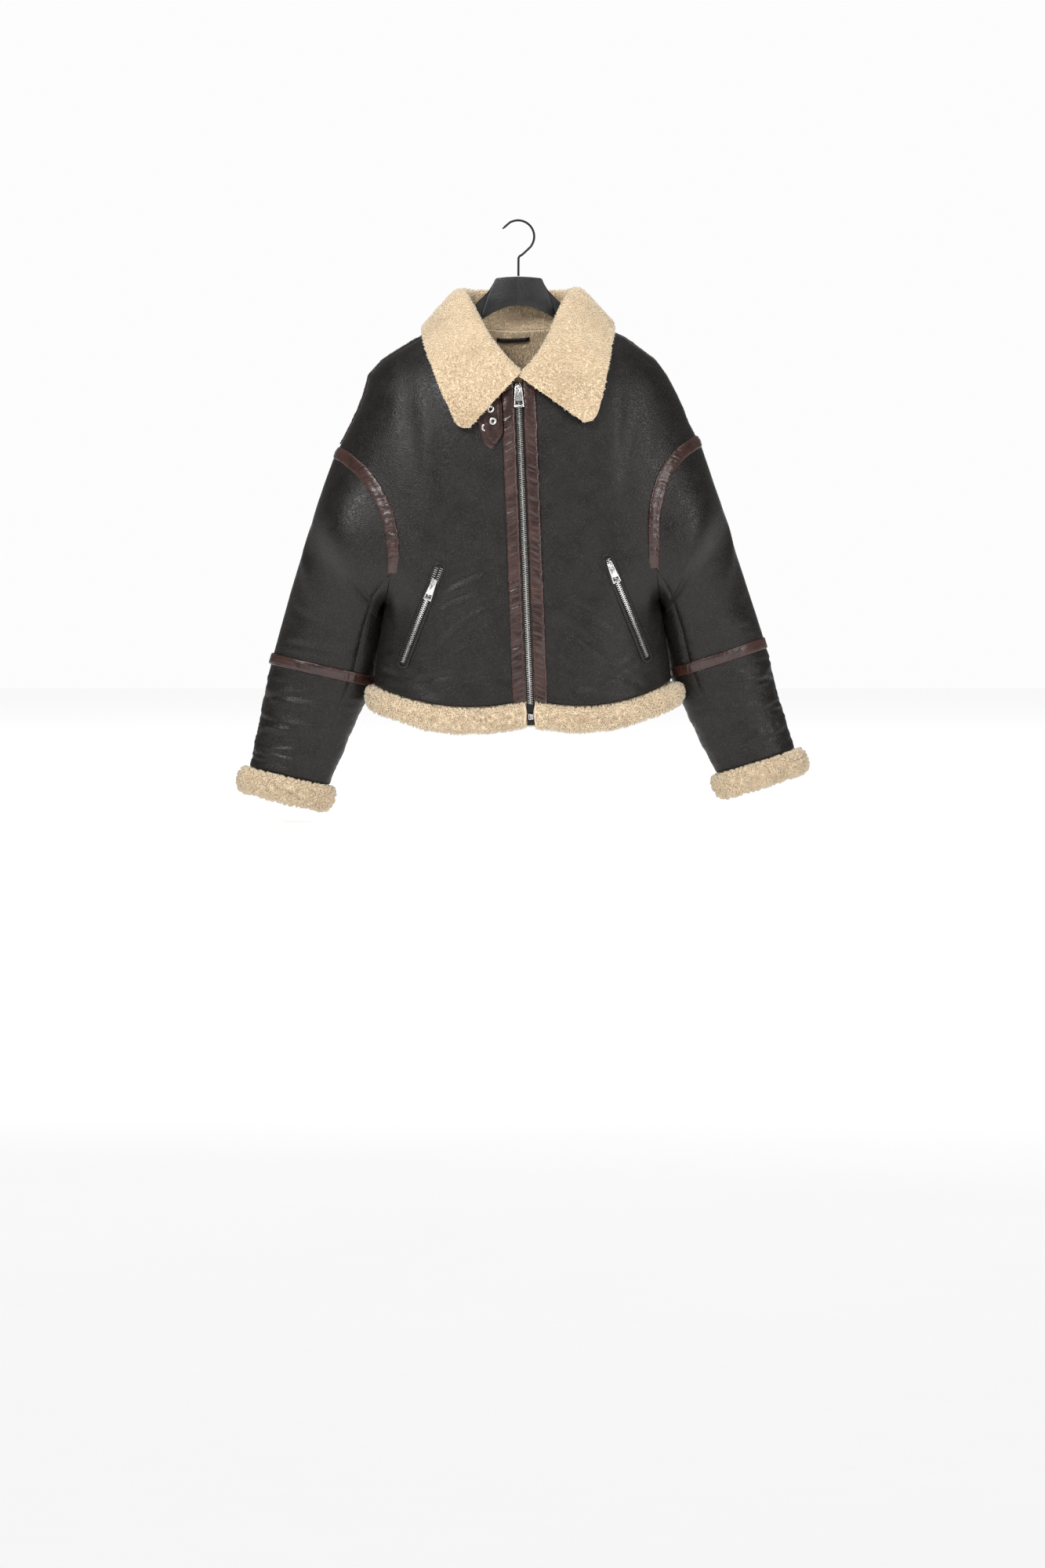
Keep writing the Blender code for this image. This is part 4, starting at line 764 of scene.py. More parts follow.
def body_half(side, face):
    """Points and normals of half a panel, without relief."""
    points = body_points(side, face, body_rows(), body_shares())
    normals = grid_normals(points, SIGN[side] * face)
    seam = body_rows() <= ARMPIT_ROW
    normals[seam, -1] = flat_normals(points[seam, -1], SIGN[side])
    normals[-1] = flat_normals(points[-1], SIGN[side])
    if face > 0:
        centre = body_rows() <= NECK_ROW
        normals[centre, 0, 0] = 0
    return points, unit(normals)


# Lines on the fronts along which the leather lies flat: under the pocket zips and the strap
CALM_LINES = (*((pocket["top"], pocket["foot"]) for pocket in POCKETS.values()), ((-44, -270), (-42, -345)))
CALM_REACH = (12.0, 30.0)


def body_relief(points, face):
    x, z = points[..., 0], points[..., 2]
    amount = -0.30 + 0.75 * ease_in(-z, 560.0, 700.0) + 0.35 * ease_in(np.abs(x), 165.0, 215.0)
    relief = leather_relief(points, amount)
    relief = relief - crease_depth(x, z, FRONT_CREASES if face < 0 else BACK_CREASES)
    return relief * calm_share(x, z) if face < 0 else relief


def calm_share(x, z):
    """The share of the relief that is kept near the calm lines."""
    kept = np.ones(np.shape(x))
    for (ax, az), (bx, bz) in CALM_LINES:
        length = math.hypot(bx - ax, bz - az)
        along = ((x - ax) * (bx - ax) + (z - az) * (bz - az)) / length
        along = np.clip(along, 0, length) / length
        away = np.hypot(x - ax - along * (bx - ax), z - az - along * (bz - az))
        kept = kept * ease_in(away, *CALM_REACH)
    return kept


# Creases of the fronts and the back: x, height, angle from the vertical in degrees, half
# length, half width, depth, bow
FRONT_CREASES = (
    (-96, -548, -62, 46, 6.0, 1.3, 0.12), (-104, -575, -66, 38, 5.0, 1.0, 0.10),
    (-88, -600, -55, 52, 7.0, 1.2, 0.15), (-72, -628, -48, 44, 6.0, 0.9, -0.10),
    (-128, -694, -75, 40, 5.0, 1.3, 0.10), (-170, -662, 70, 34, 6.0, 1.2, 0.10),
    (-186, -690, 78, 26, 5.0, 1.0, 0.00), (-60, -690, -80, 36, 6.0, 0.9, 0.10),
    (-150, -512, 50, 30, 6.0, 0.9, 0.10), (-180, -560, 20, 46, 7.0, 1.2, 0.05),
    (120, -600, 60, 48, 6.0, 1.1, -0.12), (96, -632, 52, 52, 7.0, 1.2, -0.12),
    (150, -690, 74, 42, 5.5, 1.4, -0.10), (118, -708, 82, 30, 5.0, 1.0, 0.00),
    (60, -668, 46, 40, 6.0, 0.9, 0.10), (108, -520, 66, 34, 5.5, 1.0, -0.10),
    (196, -640, -30, 40, 6.0, 1.2, 0.08), (206, -600, -12, 44, 7.0, 1.1, 0.05),
    (172, -676, -66, 30, 5.0, 1.1, 0.00), (-200, -600, 12, 40, 7.0, 1.1, 0.00),
)
BACK_CREASES = (
    (-150, -640, 58, 48, 6.0, 1.2, 0.12), (-178, -610, 40, 40, 6.0, 1.1, 0.08),
    (-120, -690, 78, 36, 5.5, 1.2, 0.05), (-60, -668, 70, 44, 6.0, 0.9, -0.10),
    (30, -640, -64, 52, 7.0, 1.0, 0.12), (86, -690, -80, 40, 5.5, 1.2, 0.05),
    (140, -650, -52, 46, 6.0, 1.3, -0.10), (186, -616, -32, 38, 6.0, 1.1, 0.00),
    (-30, -560, 52, 48, 8.0, 0.9, 0.10), (110, -560, -40, 52, 8.0, 1.0, 0.10),
    (-196, -668, 66, 26, 5.0, 1.1, 0.00), (176, -700, -76, 28, 5.0, 1.1, 0.00),
    (-110, -250, 55, 40, 7.0, 0.9, 0.10), (120, -255, -50, 44, 7.0, 0.9, -0.10),
)
# Creases of the sleeves: place, turn from the shoulder in degrees (front positive),
# half length in degrees, half width in places, depth
SLEEVE_CREASES = (
    (1.3, 138, 26, 0.10, 0.7), (2.1, 142, 24, 0.09, 0.6), (3.1, 70, 30, 0.08, 0.5),
    (3.55, 100, 34, 0.06, 1.0), (4.45, 60, 60, 0.06, 1.1), (4.8, 95, 55, 0.055, 1.2),
    (5.2, 50, 62, 0.06, 1.0), (5.55, 85, 50, 0.06, 1.3), (6.0, 60, 60, 0.065, 1.1),
    (6.4, 95, 48, 0.06, 1.2), (6.7, 50, 55, 0.06, 0.9), (1.9, 250, 60, 0.055, 1.1),
    (2.9, 270, 62, 0.05, 1.0), (3.6, 235, 55, 0.05, 1.2), (4.6, 260, 60, 0.06, 1.2),
    (5.3, 240, 58, 0.06, 1.1), (5.9, 275, 55, 0.06, 1.2), (6.5, 245, 50, 0.06, 1.0),
)


def sleeve_half(side, places, turns):
    """Points and normals of part of a sleeve, without relief; turns may run below zero."""
    wrapped = np.mod(turns, 2.0)
    points = sleeve_points(side, places, wrapped)
    normals = grid_normals(points, SIGN[side])
    middle = points.mean(axis=(0, 1))
    centres = points.mean(axis=1, keepdims=True) if turns[0] < 0 else middle
    if np.sum(normals * (points - centres)) < 0:
        normals = -normals
    return points, normals


def sleeve_relief(side, points, places, turns):
    """Relief of a sleeve; its creases run round it."""
    place = places[:, None]
    turn = np.mod(turns, 2.0)[None, :] * 180.0
    amount = -0.35 + 0.30 * ease_in(place, 0.6, 2.0) + 0.55 * ease_in(place, 3.9, 5.2)
    relief = leather_relief(points, amount)
    around = points * np.array([0.35, 0.35, 1.0]) + np.array([0.0, 0.0, 300.0 * SIGN[side]])
    bands = ease_in(place, 3.6, 5.0) * 0.55 + 0.12
    relief = relief - bands * crushed(around, np.array([16.0, 16.0, 12.0]), PATCH)
    depth = np.zeros(points.shape[:2])
    for middle, centre, half_length, half_width, deep in SLEEVE_CREASES:
        shift = 0.12 * SIGN[side] * math.sin(middle * 7.0)
        away = (turn - centre - 18 * math.sin(middle * 11.0 + SIGN[side]) + 180) % 360 - 180
        off = (place - middle - shift - 0.0022 * away * math.sin(middle * 5.0)) / half_width
        fade = np.exp(-(away / half_length) ** 4)
        depth += deep * fade * (np.exp(-off ** 2) - 0.4 * np.exp(-(np.abs(off) - 1.9) ** 2))
    return relief - depth


# Edges bent more than this stay sharp in the shading
PANEL_SHARP = math.radians(50)
STRIP_SHARP = math.radians(60)


def add_shell(name, points, normals):
    """A leather panel with its wool lining as the inner face; the lining is a darker copy of the wool,
    painted shade.
    """
    at, outer, inner, edge = shell(points, normals, WALL, LINING_STEP)
    panel = add_mesh(name, at, [(0, outer), (1, inner), (0, edge)], [LEATHER, SHADED_LINING])
    panel.data.set_sharp_from_angle(angle=PANEL_SHARP)
    return panel


def add_strip(name, points, normals, thickness, look, closed=False, sharp=None):
    """A closed strip of one look under a grid of points."""
    at, outer, inner, edge = shell(points, normals, thickness, 1, closed)
    strip = add_mesh(name, at, [(0, outer), (0, inner), (0, edge)], [look])
    if sharp is not None:
        strip.data.set_sharp_from_angle(angle=sharp)
    return strip


def dressed_half(side, face):
    points, normals = body_half(side, face)
    sides = ("low", "high", "end") if face > 0 else ("low", "high", "start", "end")
    distance = border_distance(points, sides)
    return seam_sunk(points, normals, body_relief(points, face), distance), normals


def add_body():
    for side in SIDES:
        points, normals = dressed_half(side, -1)
        points = settled_seams(points, -1)
        made[f"front_{side}"] = add_shell(f"front_{side}_shell", points, normals)
    made["back"] = add_back()


def add_back():
    """The back in one piece: its halves are joined along the centre from the hem to the neck."""
    joined_rows = NECK_ROW * ROW_STEPS + 1
    walls = []
    for side in SIDES:
        points, normals = dressed_half(side, 1)
        rows, columns = points.shape[:2]
        at, outer, inner, edge = shell(settled_seams(points, 1), normals, WALL, LINING_STEP)
        outer_seam = np.arange(joined_rows) * columns
        inner_rows = (joined_rows - 1) // LINING_STEP + 1
        inner_columns = (columns - 1) // LINING_STEP + 1
        inner_seam = rows * columns + np.arange(inner_rows) * inner_columns
        seam = np.concatenate([outer_seam, inner_seam])
        walls.append((at, outer, inner, edge[~np.isin(edge, seam).all(axis=1)]))
    count = len(walls[0][0])
    order = np.arange(2 * count)
    order[seam] = seam + count
    used, order = np.unique(order, return_inverse=True)
    points = np.concatenate([walls[0][0], walls[1][0]])[used]
    groups = []
    for look, group in ((0, 1), (1, 2), (0, 3)):
        for number, wall in enumerate(walls):
            groups.append((look, order[wall[group] + number * count]))
    back = add_mesh("back_shell", points, groups, [LEATHER, SHADED_LINING])
    back.data.set_sharp_from_angle(angle=PANEL_SHARP)
    return back


# Least distance of the body's faces from the plane y = 0
SEAM_APART = 0.25


def settled_seams(points, face):
    """Keeps the two faces of the body a little apart along the side and shoulder seams."""
    points = points.copy()
    depth = points[..., 1]
    points[..., 1] = np.where(depth * face < SEAM_APART, SEAM_APART * face, depth)
    return points


def add_sleeves():
    for side in SIDES:
        spans = {
            "upper": (0.0, ELBOW, UPPER_ROWS, -UNDER_TURN, UNDER_TURN, OUTER_STEPS),
            "upper_under": (0.0, ELBOW, UPPER_ROWS, UNDER_TURN, 2 - UNDER_TURN, UNDER_STEPS),
            "lower": (ELBOW, CUFF, LOWER_ROWS, -UNDER_TURN, UNDER_TURN, OUTER_STEPS),
            "lower_under": (ELBOW, CUFF, LOWER_ROWS, UNDER_TURN, 2 - UNDER_TURN, UNDER_STEPS),
        }
        for part, (top, foot, rows, first, last, columns) in spans.items():
            places = np.linspace(top, foot, rows + 1)
            turns = np.linspace(first, last, columns + 1)
            points, normals = sleeve_half(side, places, turns)
            relief = sleeve_relief(side, points, places, turns)
            dressed = drawn_in(side, seam_sunk(points, normals, relief, border_distance(points)))
            made[f"sleeve_{part}_{side}"] = add_shell(f"sleeve_{part}_{side}_shell", dressed, normals)


# Where the sleeve tucks in under the arm: how far, at which height, spread over how much of
# it, and the spans of y and x over which it sets in and ends
TUCK_BEHIND = 9.0
TUCK_HEIGHT = -597.0
TUCK_SPREAD = 34.0
TUCK_Y = (-2.0, 12.0)
TUCK_X = (216.0, 262.0)


def drawn_in(side, points):
    """Closes the chink between sleeve and body under the arm: the sleeve's inner side tucks in
    behind the side seam."""
    x, y, z = np.moveaxis(points, -1, 0)
    share = np.exp(-((z - TUCK_HEIGHT) / TUCK_SPREAD) ** 2)
    share = share * ease_in(y, *TUCK_Y) * (1 - ease_in(np.abs(x), *TUCK_X))
    points = points.copy()
    points[..., 0] -= SIGN[side] * TUCK_BEHIND * share
    return points


# Tapes, plackets and stitches

# How far behind the ridge each shoulder tape starts
SHOULDER_TAPE_START = {"right": 2.0, "left": 8.0}
# How far an armhole tape comes down at its ends and at the shoulder, and the latter's spread
ARMHOLE_END_DIP = 2.7
ARMHOLE_TOP_DIP = 1.1
ARMHOLE_TOP_SPREAD = 0.1
TAPE_PITCH = 1.9
PLACKET_PITCH = 1.7
TAPE_EDGE = 2.6
TAPE_CROWN = 0.7
STITCH_PITCH = 3.6
STITCH_LENGTH = 2.7
STITCH_RADIUS = 0.42


def puckered(points, normals, along, across, width, seed):
    """A tape's relief: a crown between its stitch lines, puckers across it, edges turned down."""
    inside = np.clip(across / TAPE_EDGE, 0, 1) * np.clip((width - across) / TAPE_EDGE, 0, 1)
    crown = TAPE_CROWN * np.sqrt(np.clip(inside, 0, 1))
    places = np.stack([along + 0.25 * (across - width / 2), across * 0.32, np.full_like(along, seed * 50.0)],
                      axis=-1)
    puckers = CRUSH.at(places, np.array([4.6, 8.0, 9.0])) * 0.75
    puckers += SOFT.at(places, np.array([11.0, 12.0, 9.0])) * 0.45
    edge_distance = np.minimum(across, width - across)
    groove = 0.55 * np.exp(-((edge_distance - TAPE_EDGE) / 0.9) ** 2)
    edge = 0.6 * (1 - np.clip(edge_distance / 1.2, 0, 1)) ** 2
    return points + normals * (crown + puckers * inside - groove - edge)[..., None]


def resampled(points, normals, pitch, shares):
    """A ribbon laid out afresh: even steps along its middle, given shares across."""
    middle = points[:, points.shape[1] // 2]
    run = lengths_along(middle)
    steps = max(4, int(run[-1] / pitch))
    places = np.linspace(0, run[-1], steps + 1)
    rows = np.interp(places, run, np.arange(len(run)))
    lines = smooth(points, rows)
    outs = smooth(normals, rows)
    columns = np.asarray(shares) * (points.shape[1] - 1)
    at = smooth(np.swapaxes(lines, 0, 1), columns)
    out = smooth(np.swapaxes(outs, 0, 1), columns)
    return np.swapaxes(at, 0, 1), unit(np.swapaxes(out, 0, 1)), places


def add_tape(node, points, normals, width, thickness, lift, seed, closed=False, pitch=TAPE_PITCH):
    """A leather tape over rows of points, lifted off the leather, with stitches along both edges."""
    normals = unit(np.array(normals))
    points = np.array(points) + normals * lift
    shares = np.linspace(0, 1, 13)
    at, out, places = resampled(points, normals, pitch, shares)
    if closed:
        # The puckers are laid out on a circle, so that they meet where the tape closes
        at[-1] = at[0]
        out[-1] = out[0]
        run = places / places[-1] * 2 * math.pi
        reach = places[-1] / (2 * math.pi)
        along = (reach * np.cos(run))[:, None] + np.zeros(len(shares))
        turned = np.sin(run)[:, None] * reach
        along = along + turned * 0.731
    else:
        along = places[:, None] + np.zeros(len(shares))
    across = shares[None, :] * width + np.zeros(at.shape[:2])
    raised = puckered(at, out, along, across, width, seed)
    name = f"{node}_leather"
    tape = add_strip(name, np.swapaxes(raised, 0, 1), np.swapaxes(out, 0, 1), thickness, BROWN,
                     closed, STRIP_SHARP)
    for column, label in ((2, "first"), (len(shares) - 3, "second")):
        add_stitches(f"{name}_{label}_stitches", raised[:, column], out[:, column], tape)
    made[node] = tape


def add_stitches(name, line, normals, parent, look=None, pitch=STITCH_PITCH):
    """A row of stitches: short bowed threads that go down into the leather at both ends."""
    run = lengths_along(line)
    count = max(1, int(run[-1] / pitch))
    starts = (np.arange(count) + 0.5) * run[-1] / count
    stations = np.array([-0.5, -0.26, 0.0, 0.26, 0.5])
    lift = np.array([-0.25, 0.22, 0.34, 0.22, -0.25])
    girth = np.array([0.55, 1.0, 1.0, 1.0, 0.55]) * STITCH_RADIUS
    points = []
    for station, height, radius in zip(stations, lift, girth):
        spot = np.clip(starts + station * STITCH_LENGTH, 0, run[-1])
        at = values_at(spot, run, line)
        out = unit(values_at(spot, run, normals))
        ahead = values_at(np.minimum(spot + 0.5, run[-1]), run, line)
        behind = values_at(np.maximum(spot - 0.5, 0), run, line)
        forward = unit(ahead - behind)
        side = unit(np.cross(forward, out))
        for angle in (0.25, 0.75, 1.25, 1.75):
            turn = angle * math.pi
            points.append(at + out * height + radius * (math.cos(turn) * side + math.sin(turn) * out))
    points = np.stack(points, axis=1)
    ring = np.arange(4)
    faces = []
    for k in range(len(stations) - 1):
        low = k * 4 + ring
        high = low + 4
        faces.append(np.stack([low, np.roll(low, -1), np.roll(high, -1), high], axis=1))
    caps = np.array([[3, 2, 1, 0], [16, 17, 18, 19]])
    faces = np.concatenate([*faces, caps])
    every = (np.arange(count)[:, None, None] * points.shape[1] + faces[None]).reshape(-1, 4)
    threads = add_mesh(name, points.reshape(-1, 3), [(0, every)], [look or THREAD])
    threads.parent = parent


def walked(points, normals, distances):
    """A run's points and normals at distances along it."""
    run = lengths_along(points)
    return values_at(distances, run, points), values_at(distances, run, normals)


def add_armhole_tapes():
    half = TAPE_WIDTH / 2
    steps = (half, half * 0.75, half / 2, half / 4, 0.0)
    for side in SIDES:
        turns = np.linspace(-UNDER_TURN, UNDER_TURN, 71)
        shares = 1 - np.array([0.0, 0.012, 0.024, 0.04, 0.055, 0.07, 0.09])
        sleeve_at, sleeve_out = sleeve_half(side, np.linspace(0.0, 0.36, 7), turns)
        points = []
        normals = []
        for k, turn in enumerate(turns):
            row = LAST_ROW - (LAST_ROW - ARMPIT_ROW) * abs(turn)
            face = 1 if turn < 0 else -1
            near = np.clip(row + np.array([-0.15, 0.0, 0.15]), ARMPIT_ROW, LAST_ROW)
            grid = body_points(side, face, near, shares)
            out = grid_normals(grid, SIGN[side] * face)
            middle = 1 if ARMPIT_ROW < row < LAST_ROW else (2 if row >= LAST_ROW else 0)
            body_at, body_out = walked(grid[middle], -out[middle], steps)
            rest_at, rest_out = walked(sleeve_at[:, k], sleeve_out[:, k], steps[3::-1])
            if np.sum(body_out[0] * sleeve_out[0, k]) < 0:
                body_out = -body_out
            join = unit(body_out[-1] + sleeve_out[0, k])
            if row >= LAST_ROW - 0.02:
                join[1] = 0.0
                join = unit(join)
            seam = np.linspace(1, 0, 5)[:, None]
            body_out = unit(body_out * seam + join * (1 - seam))
            rest_out = unit(rest_out * seam[3::-1] + join * (1 - seam[3::-1]))
            points.append(np.concatenate([body_at, rest_at]))
            normals.append(np.concatenate([body_out, rest_out]))
        from_end = np.minimum(np.arange(len(turns)), np.arange(len(turns))[::-1]) / 5.0
        end_dip = ARMHOLE_END_DIP * (1 - ease_in(from_end, 0.0, 1.0))
        top_dip = ARMHOLE_TOP_DIP * np.exp(-(turns / ARMHOLE_TOP_SPREAD) ** 2)
        lift = LAY_GAP + TAPE_THICK - end_dip - top_dip
        add_tape(f"armhole_tape_{side}", points, normals, TAPE_WIDTH, TAPE_THICK, lift[:, None, None],
                 1 + SIGN[side])


def add_elbow_tapes():
    half = ELBOW_TAPE_WIDTH / 2
    for side in SIDES:
        turns = np.linspace(0.0, 2.0, 81)
        places = np.linspace(ELBOW - 0.28, ELBOW + 0.28, 9)
        at, out = sleeve_half(side, places, np.minimum(turns, 1.99999))
        at[:, -1] = at[:, 0]
        ends = unit(out[:, 0] + out[:, -1])
        out[:, 0] = ends
        out[:, -1] = ends
        points = []
        normals = []
        for k in range(len(turns)):
            up_at, up_out = walked(at[4::-1, k], out[4::-1, k], (half, half * 2 / 3, half / 3))
            down_at, down_out = walked(at[4:, k], out[4:, k], (half / 3, half * 2 / 3, half))
            points.append([*up_at, at[4, k], *down_at])
            normals.append([*up_out, out[4, k], *down_out])
        add_tape(f"elbow_tape_{side}", points, normals, ELBOW_TAPE_WIDTH, TAPE_THICK,
                 LAY_GAP + TAPE_THICK, 4 + SIGN[side], closed=True)


def add_shoulder_tapes():
    for side in SIDES:
        points, normals = body_half(side, 1)
        rows = []
        turned = []
        steps = SHOULDER_TAPE_START[side] + np.linspace(0, TAPE_WIDTH, 5)
        for column in range(10, points.shape[1] - 5, 3):
            at, out = walked(points[::-1, column], normals[::-1, column], steps)
            rows.append(at)
            turned.append(out)
        add_tape(f"shoulder_tape_{side}", rows, turned, TAPE_WIDTH, TAPE_THICK, LAY_GAP + TAPE_THICK,
                 7 + SIGN[side])


def add_plackets():
    for side in SIDES:
        points, normals = body_half(side, -1)
        rows = []
        turned = []
        for row in range(0, NECK_ROW * ROW_STEPS + 1, 3):
            at, out = walked(points[row], normals[row], np.linspace(0.4, PLACKET_WIDTH, 5))
            rows.append(at)
            turned.append(out)
        add_tape(f"placket_{side}", rows, turned, PLACKET_WIDTH, PLACKET_THICK, LAY_GAP + PLACKET_THICK,
                 10 + SIGN[side], pitch=PLACKET_PITCH)


# Wool: bands, collar and the lining at the neck

BAND_AROUND = 56
BAND_PITCH = 3.6
BAND_END_BULGE = 4.0
# The hem's wool swells out at the wearer's left side, over this span of x
HEM_SIDE_SWELL = 11.0
HEM_SWELL_X = (196.0, 226.0)
# The cuffs' wool stands fuller than in the part
CUFF_FULLER = 3.0


def wool_section(proud, height):
    """Points round a wool band's section: out from the wall, down from its edge."""
    inside = WOOL_INSIDE
    return (
        (2.0, 0.6), (proud * 0.7, 1.8), (proud, height * 0.28), (proud * 0.97, height * 0.62),
        (proud * 0.62, height * 0.9), (-2.0, height), (-inside * 0.75, height * 0.9),
        (-inside, height * 0.6), (-inside, height * 0.25), (-inside * 0.6, 1.8), (-3.5, 0.6),
    )


def smooth_ring(points, count):
    """A closed curve through points in a ring, at even places."""
    wrapped = np.concatenate([points[-2:], points, points[:3]])
    places = np.linspace(0, len(points), count, endpoint=False) + 2
    return smooth(wrapped, places)


def add_band(name, edge, out, down, proud, height, closed, tufts, side_swell=None):
    """A wool band along a line, with its tufts. Side_swell pushes its outer side out at each
    point of the line."""
    run = lengths_along(edge)
    steps = int(run[-1] / BAND_PITCH)
    rows = np.interp(np.linspace(0, run[-1], steps + 1), run, np.arange(len(run)))
    if closed:
        rows = rows[:-1]
    at = smooth(edge, rows)
    outs = unit(smooth(out, rows))
    downs = unit(smooth(down, rows))
    section = np.array(wool_section(proud, height))
    middle = section.mean(axis=0)
    ring = smooth_ring(section, BAND_AROUND)
    away = unit(ring - middle)
    ring = ring - away * WOOL_LOOK["band"][0]
    swell = SOFT.at(at, 46.0)[:, None] * 2.4 + SOFT.at(at + 77.0, 20.0)[:, None] * 1.2
    far = swell * np.clip(away[None, :, 1], 0, 1) ** 2
    spread = np.zeros(len(at)) if side_swell is None else np.interp(rows, np.arange(len(edge)), side_swell)
    further = spread[:, None] * np.clip(ring[:, 0] / proud, 0, 1)
    points = (at[:, None] + outs[:, None] * (ring[None, :, 0] + further)[..., None]
              + downs[:, None] * (ring[None, :, 1] + far)[..., None])
    normals = outs[:, None] * away[None, :, :1] + downs[:, None] * away[None, :, 1:]
    rings = len(points)
    ids = np.arange(rings * BAND_AROUND).reshape(rings, BAND_AROUND)
    ids = np.concatenate([ids, ids[:, :1]], axis=1)
    if closed:
        ids = np.concatenate([ids, ids[:1]], axis=0)
    quads = grid_quads(ids)
    flat = points.reshape(-1, 3)
    outward = normals.reshape(-1, 3)
    a, b, c, _ = quads[BAND_AROUND // 4]
    if np.dot(np.cross(flat[b] - flat[a], flat[c] - flat[a]), outward[a]) < 0:
        quads = quads[:, ::-1]
    extra = []
    if not closed:
        ends = [ids[0, :-1], ids[-1, :-1]]
        caps = []
        for k, end in enumerate(ends):
            hub = len(flat)
            centre = flat[end].mean(axis=0)
            toward = unit(centre - flat[ids[3 if k == 0 else -4, :-1]].mean(axis=0))
            flat = np.concatenate([flat, [centre + toward * BAND_END_BULGE]])
            outward = np.concatenate([outward, [toward]])
            outward[end] = unit(outward[end] + toward)
            for j in range(BAND_AROUND):
                caps.append((end[j], end[(j + 1) % BAND_AROUND], hub))
        caps = np.array(caps)
        turned = np.cross(flat[caps[:, 1]] - flat[caps[:, 0]], flat[caps[:, 2]] - flat[caps[:, 0]])
        wrong = np.sum(turned * outward[caps[:, 2]], axis=1) < 0
        caps[wrong] = caps[wrong][:, ::-1]
        extra = [(0, caps)]
    return add_wool(name, flat, quads, unit(outward), *tufts, WOOL_LOOK["band"], extra)


def hem_line():
    """The hem's points and outward directions, from one side of the zip round to the other."""
    edge = []
    out = []
    for side, face, order in (("right", -1, 1), ("right", 1, -1), ("left", 1, 1), ("left", -1, -1)):
        points, normals = body_half(side, face)
        skip = 1 if edge else 0
        edge += list(points[0][::order][skip:])
        out += list(normals[0][::order][skip:])
    edge = np.array(edge)
    out = np.array(out)
    out[:, 2] = 0
    edge[0, 0] -= HEM_WOOL_SIDE_GAP
    edge[-1, 0] += HEM_WOOL_SIDE_GAP
    return edge, unit(out)


def add_hem_wool():
    edge, out = hem_line()
    side_swell = HEM_SIDE_SWELL * ease_in(edge[:, 0], *HEM_SWELL_X)
    down = np.tile((0.0, 0.0, -1.0), (len(edge), 1))
    made["hem_wool"] = add_band("hem_wool_pile", edge - out * WOOL_SEAT, out, down, HEM_WOOL_PROUD,
                                HEM_WOOL_HEIGHT, False, HEM_TUFTS, side_swell)


def add_cuff_wool():
    for side in SIDES:
        turns = np.linspace(0, 2, 97)
        points, normals = sleeve_half(side, np.array([6.0, 6.5, 6.85, 7.0]), np.minimum(turns, 1.99999))
        edge = points[-1]
        edge[-1] = edge[0]
        out = normals[-1]
        axis = unit(points[-1].mean(axis=0) - points[0].mean(axis=0))
        out = unit(out - (out @ axis)[:, None] * axis)
        out[-1] = out[0] = unit(out[0] + out[-1])
        down = np.tile(axis, (len(edge), 1))
        made[f"cuff_wool_{side}"] = add_band(
            f"cuff_wool_{side}_pile", edge - out * WOOL_SEAT, out, down, CUFF_WOOL_PROUD + CUFF_FULLER,
            CUFF_WOOL_HEIGHT + CUFF_FULLER, True, CUFF_TUFTS[side])


COLLAR_STAND = np.linspace(0, 0.86, 12)
COLLAR_ARC = np.linspace(0, 1.0, 13)
COLLAR_FALL = np.linspace(0.045, 1.0, 34)
COLLAR_SECTIONS = 156
# How far the folded edge leans to the middle beside the opening: between these shares of the
# way from the centre back to the front, round this column of the collar's grid
FOLD_LEAN = 6.0
FOLD_SETS_IN = (0.12, 0.34)
FOLD_ENDS = (0.70, 0.92)
FOLD_COLUMN = 17.0
FOLD_SPREAD = 8.0
FOLD_MIDDLE = 20.0
# A point amid the neck's opening
NECK_MIDDLE = np.array([0.0, -10.0, -185.0])


def neck_line(side, grids):
    """Mid wall points and directions into the opening along the neckline, by row number."""
    rows = body_rows()
    top = rows >= NECK_ROW
    front_at, front_out = grids[side, -1]
    back_at, back_out = grids[side, 1]
    at = np.concatenate([front_at[top, 0], back_at[top, 0][-2::-1]])
    out = np.concatenate([front_out[top, 0], back_out[top, 0][-2::-1]])
    places = np.concatenate([rows[top], 2 * LAST_ROW - rows[top][-2::-1]])
    middle = at - out * WALL / 2
    inward = unit(np.cross(out, np.gradient(middle, axis=0)))
    signs = np.sign(np.sum(inward * (NECK_MIDDLE - middle), axis=1))
    return places, middle, inward * signs[:, None]


def collar_sections(grids):
    """Neck, roll and edge points all round, from the right front to the left front."""
    necks, rolls, edges = [], [], []
    for side, order in (("right", 1), ("left", -1)):
        rows, middle, inward = neck_line(side, grids)
        sections = list(COLLAR[side]) + ([COLLAR_BACK] if side == "right" else [])
        for place, top, edge in sections[::order]:
            base = values_at(place, rows, middle)
            necks.append(base + unit(values_at(place, rows, inward)) * COLLAR_LIFT)
            rolls.append(top)
            edges.append(edge)
    return np.array(necks, float), np.array(rolls, float), np.array(edges, float)


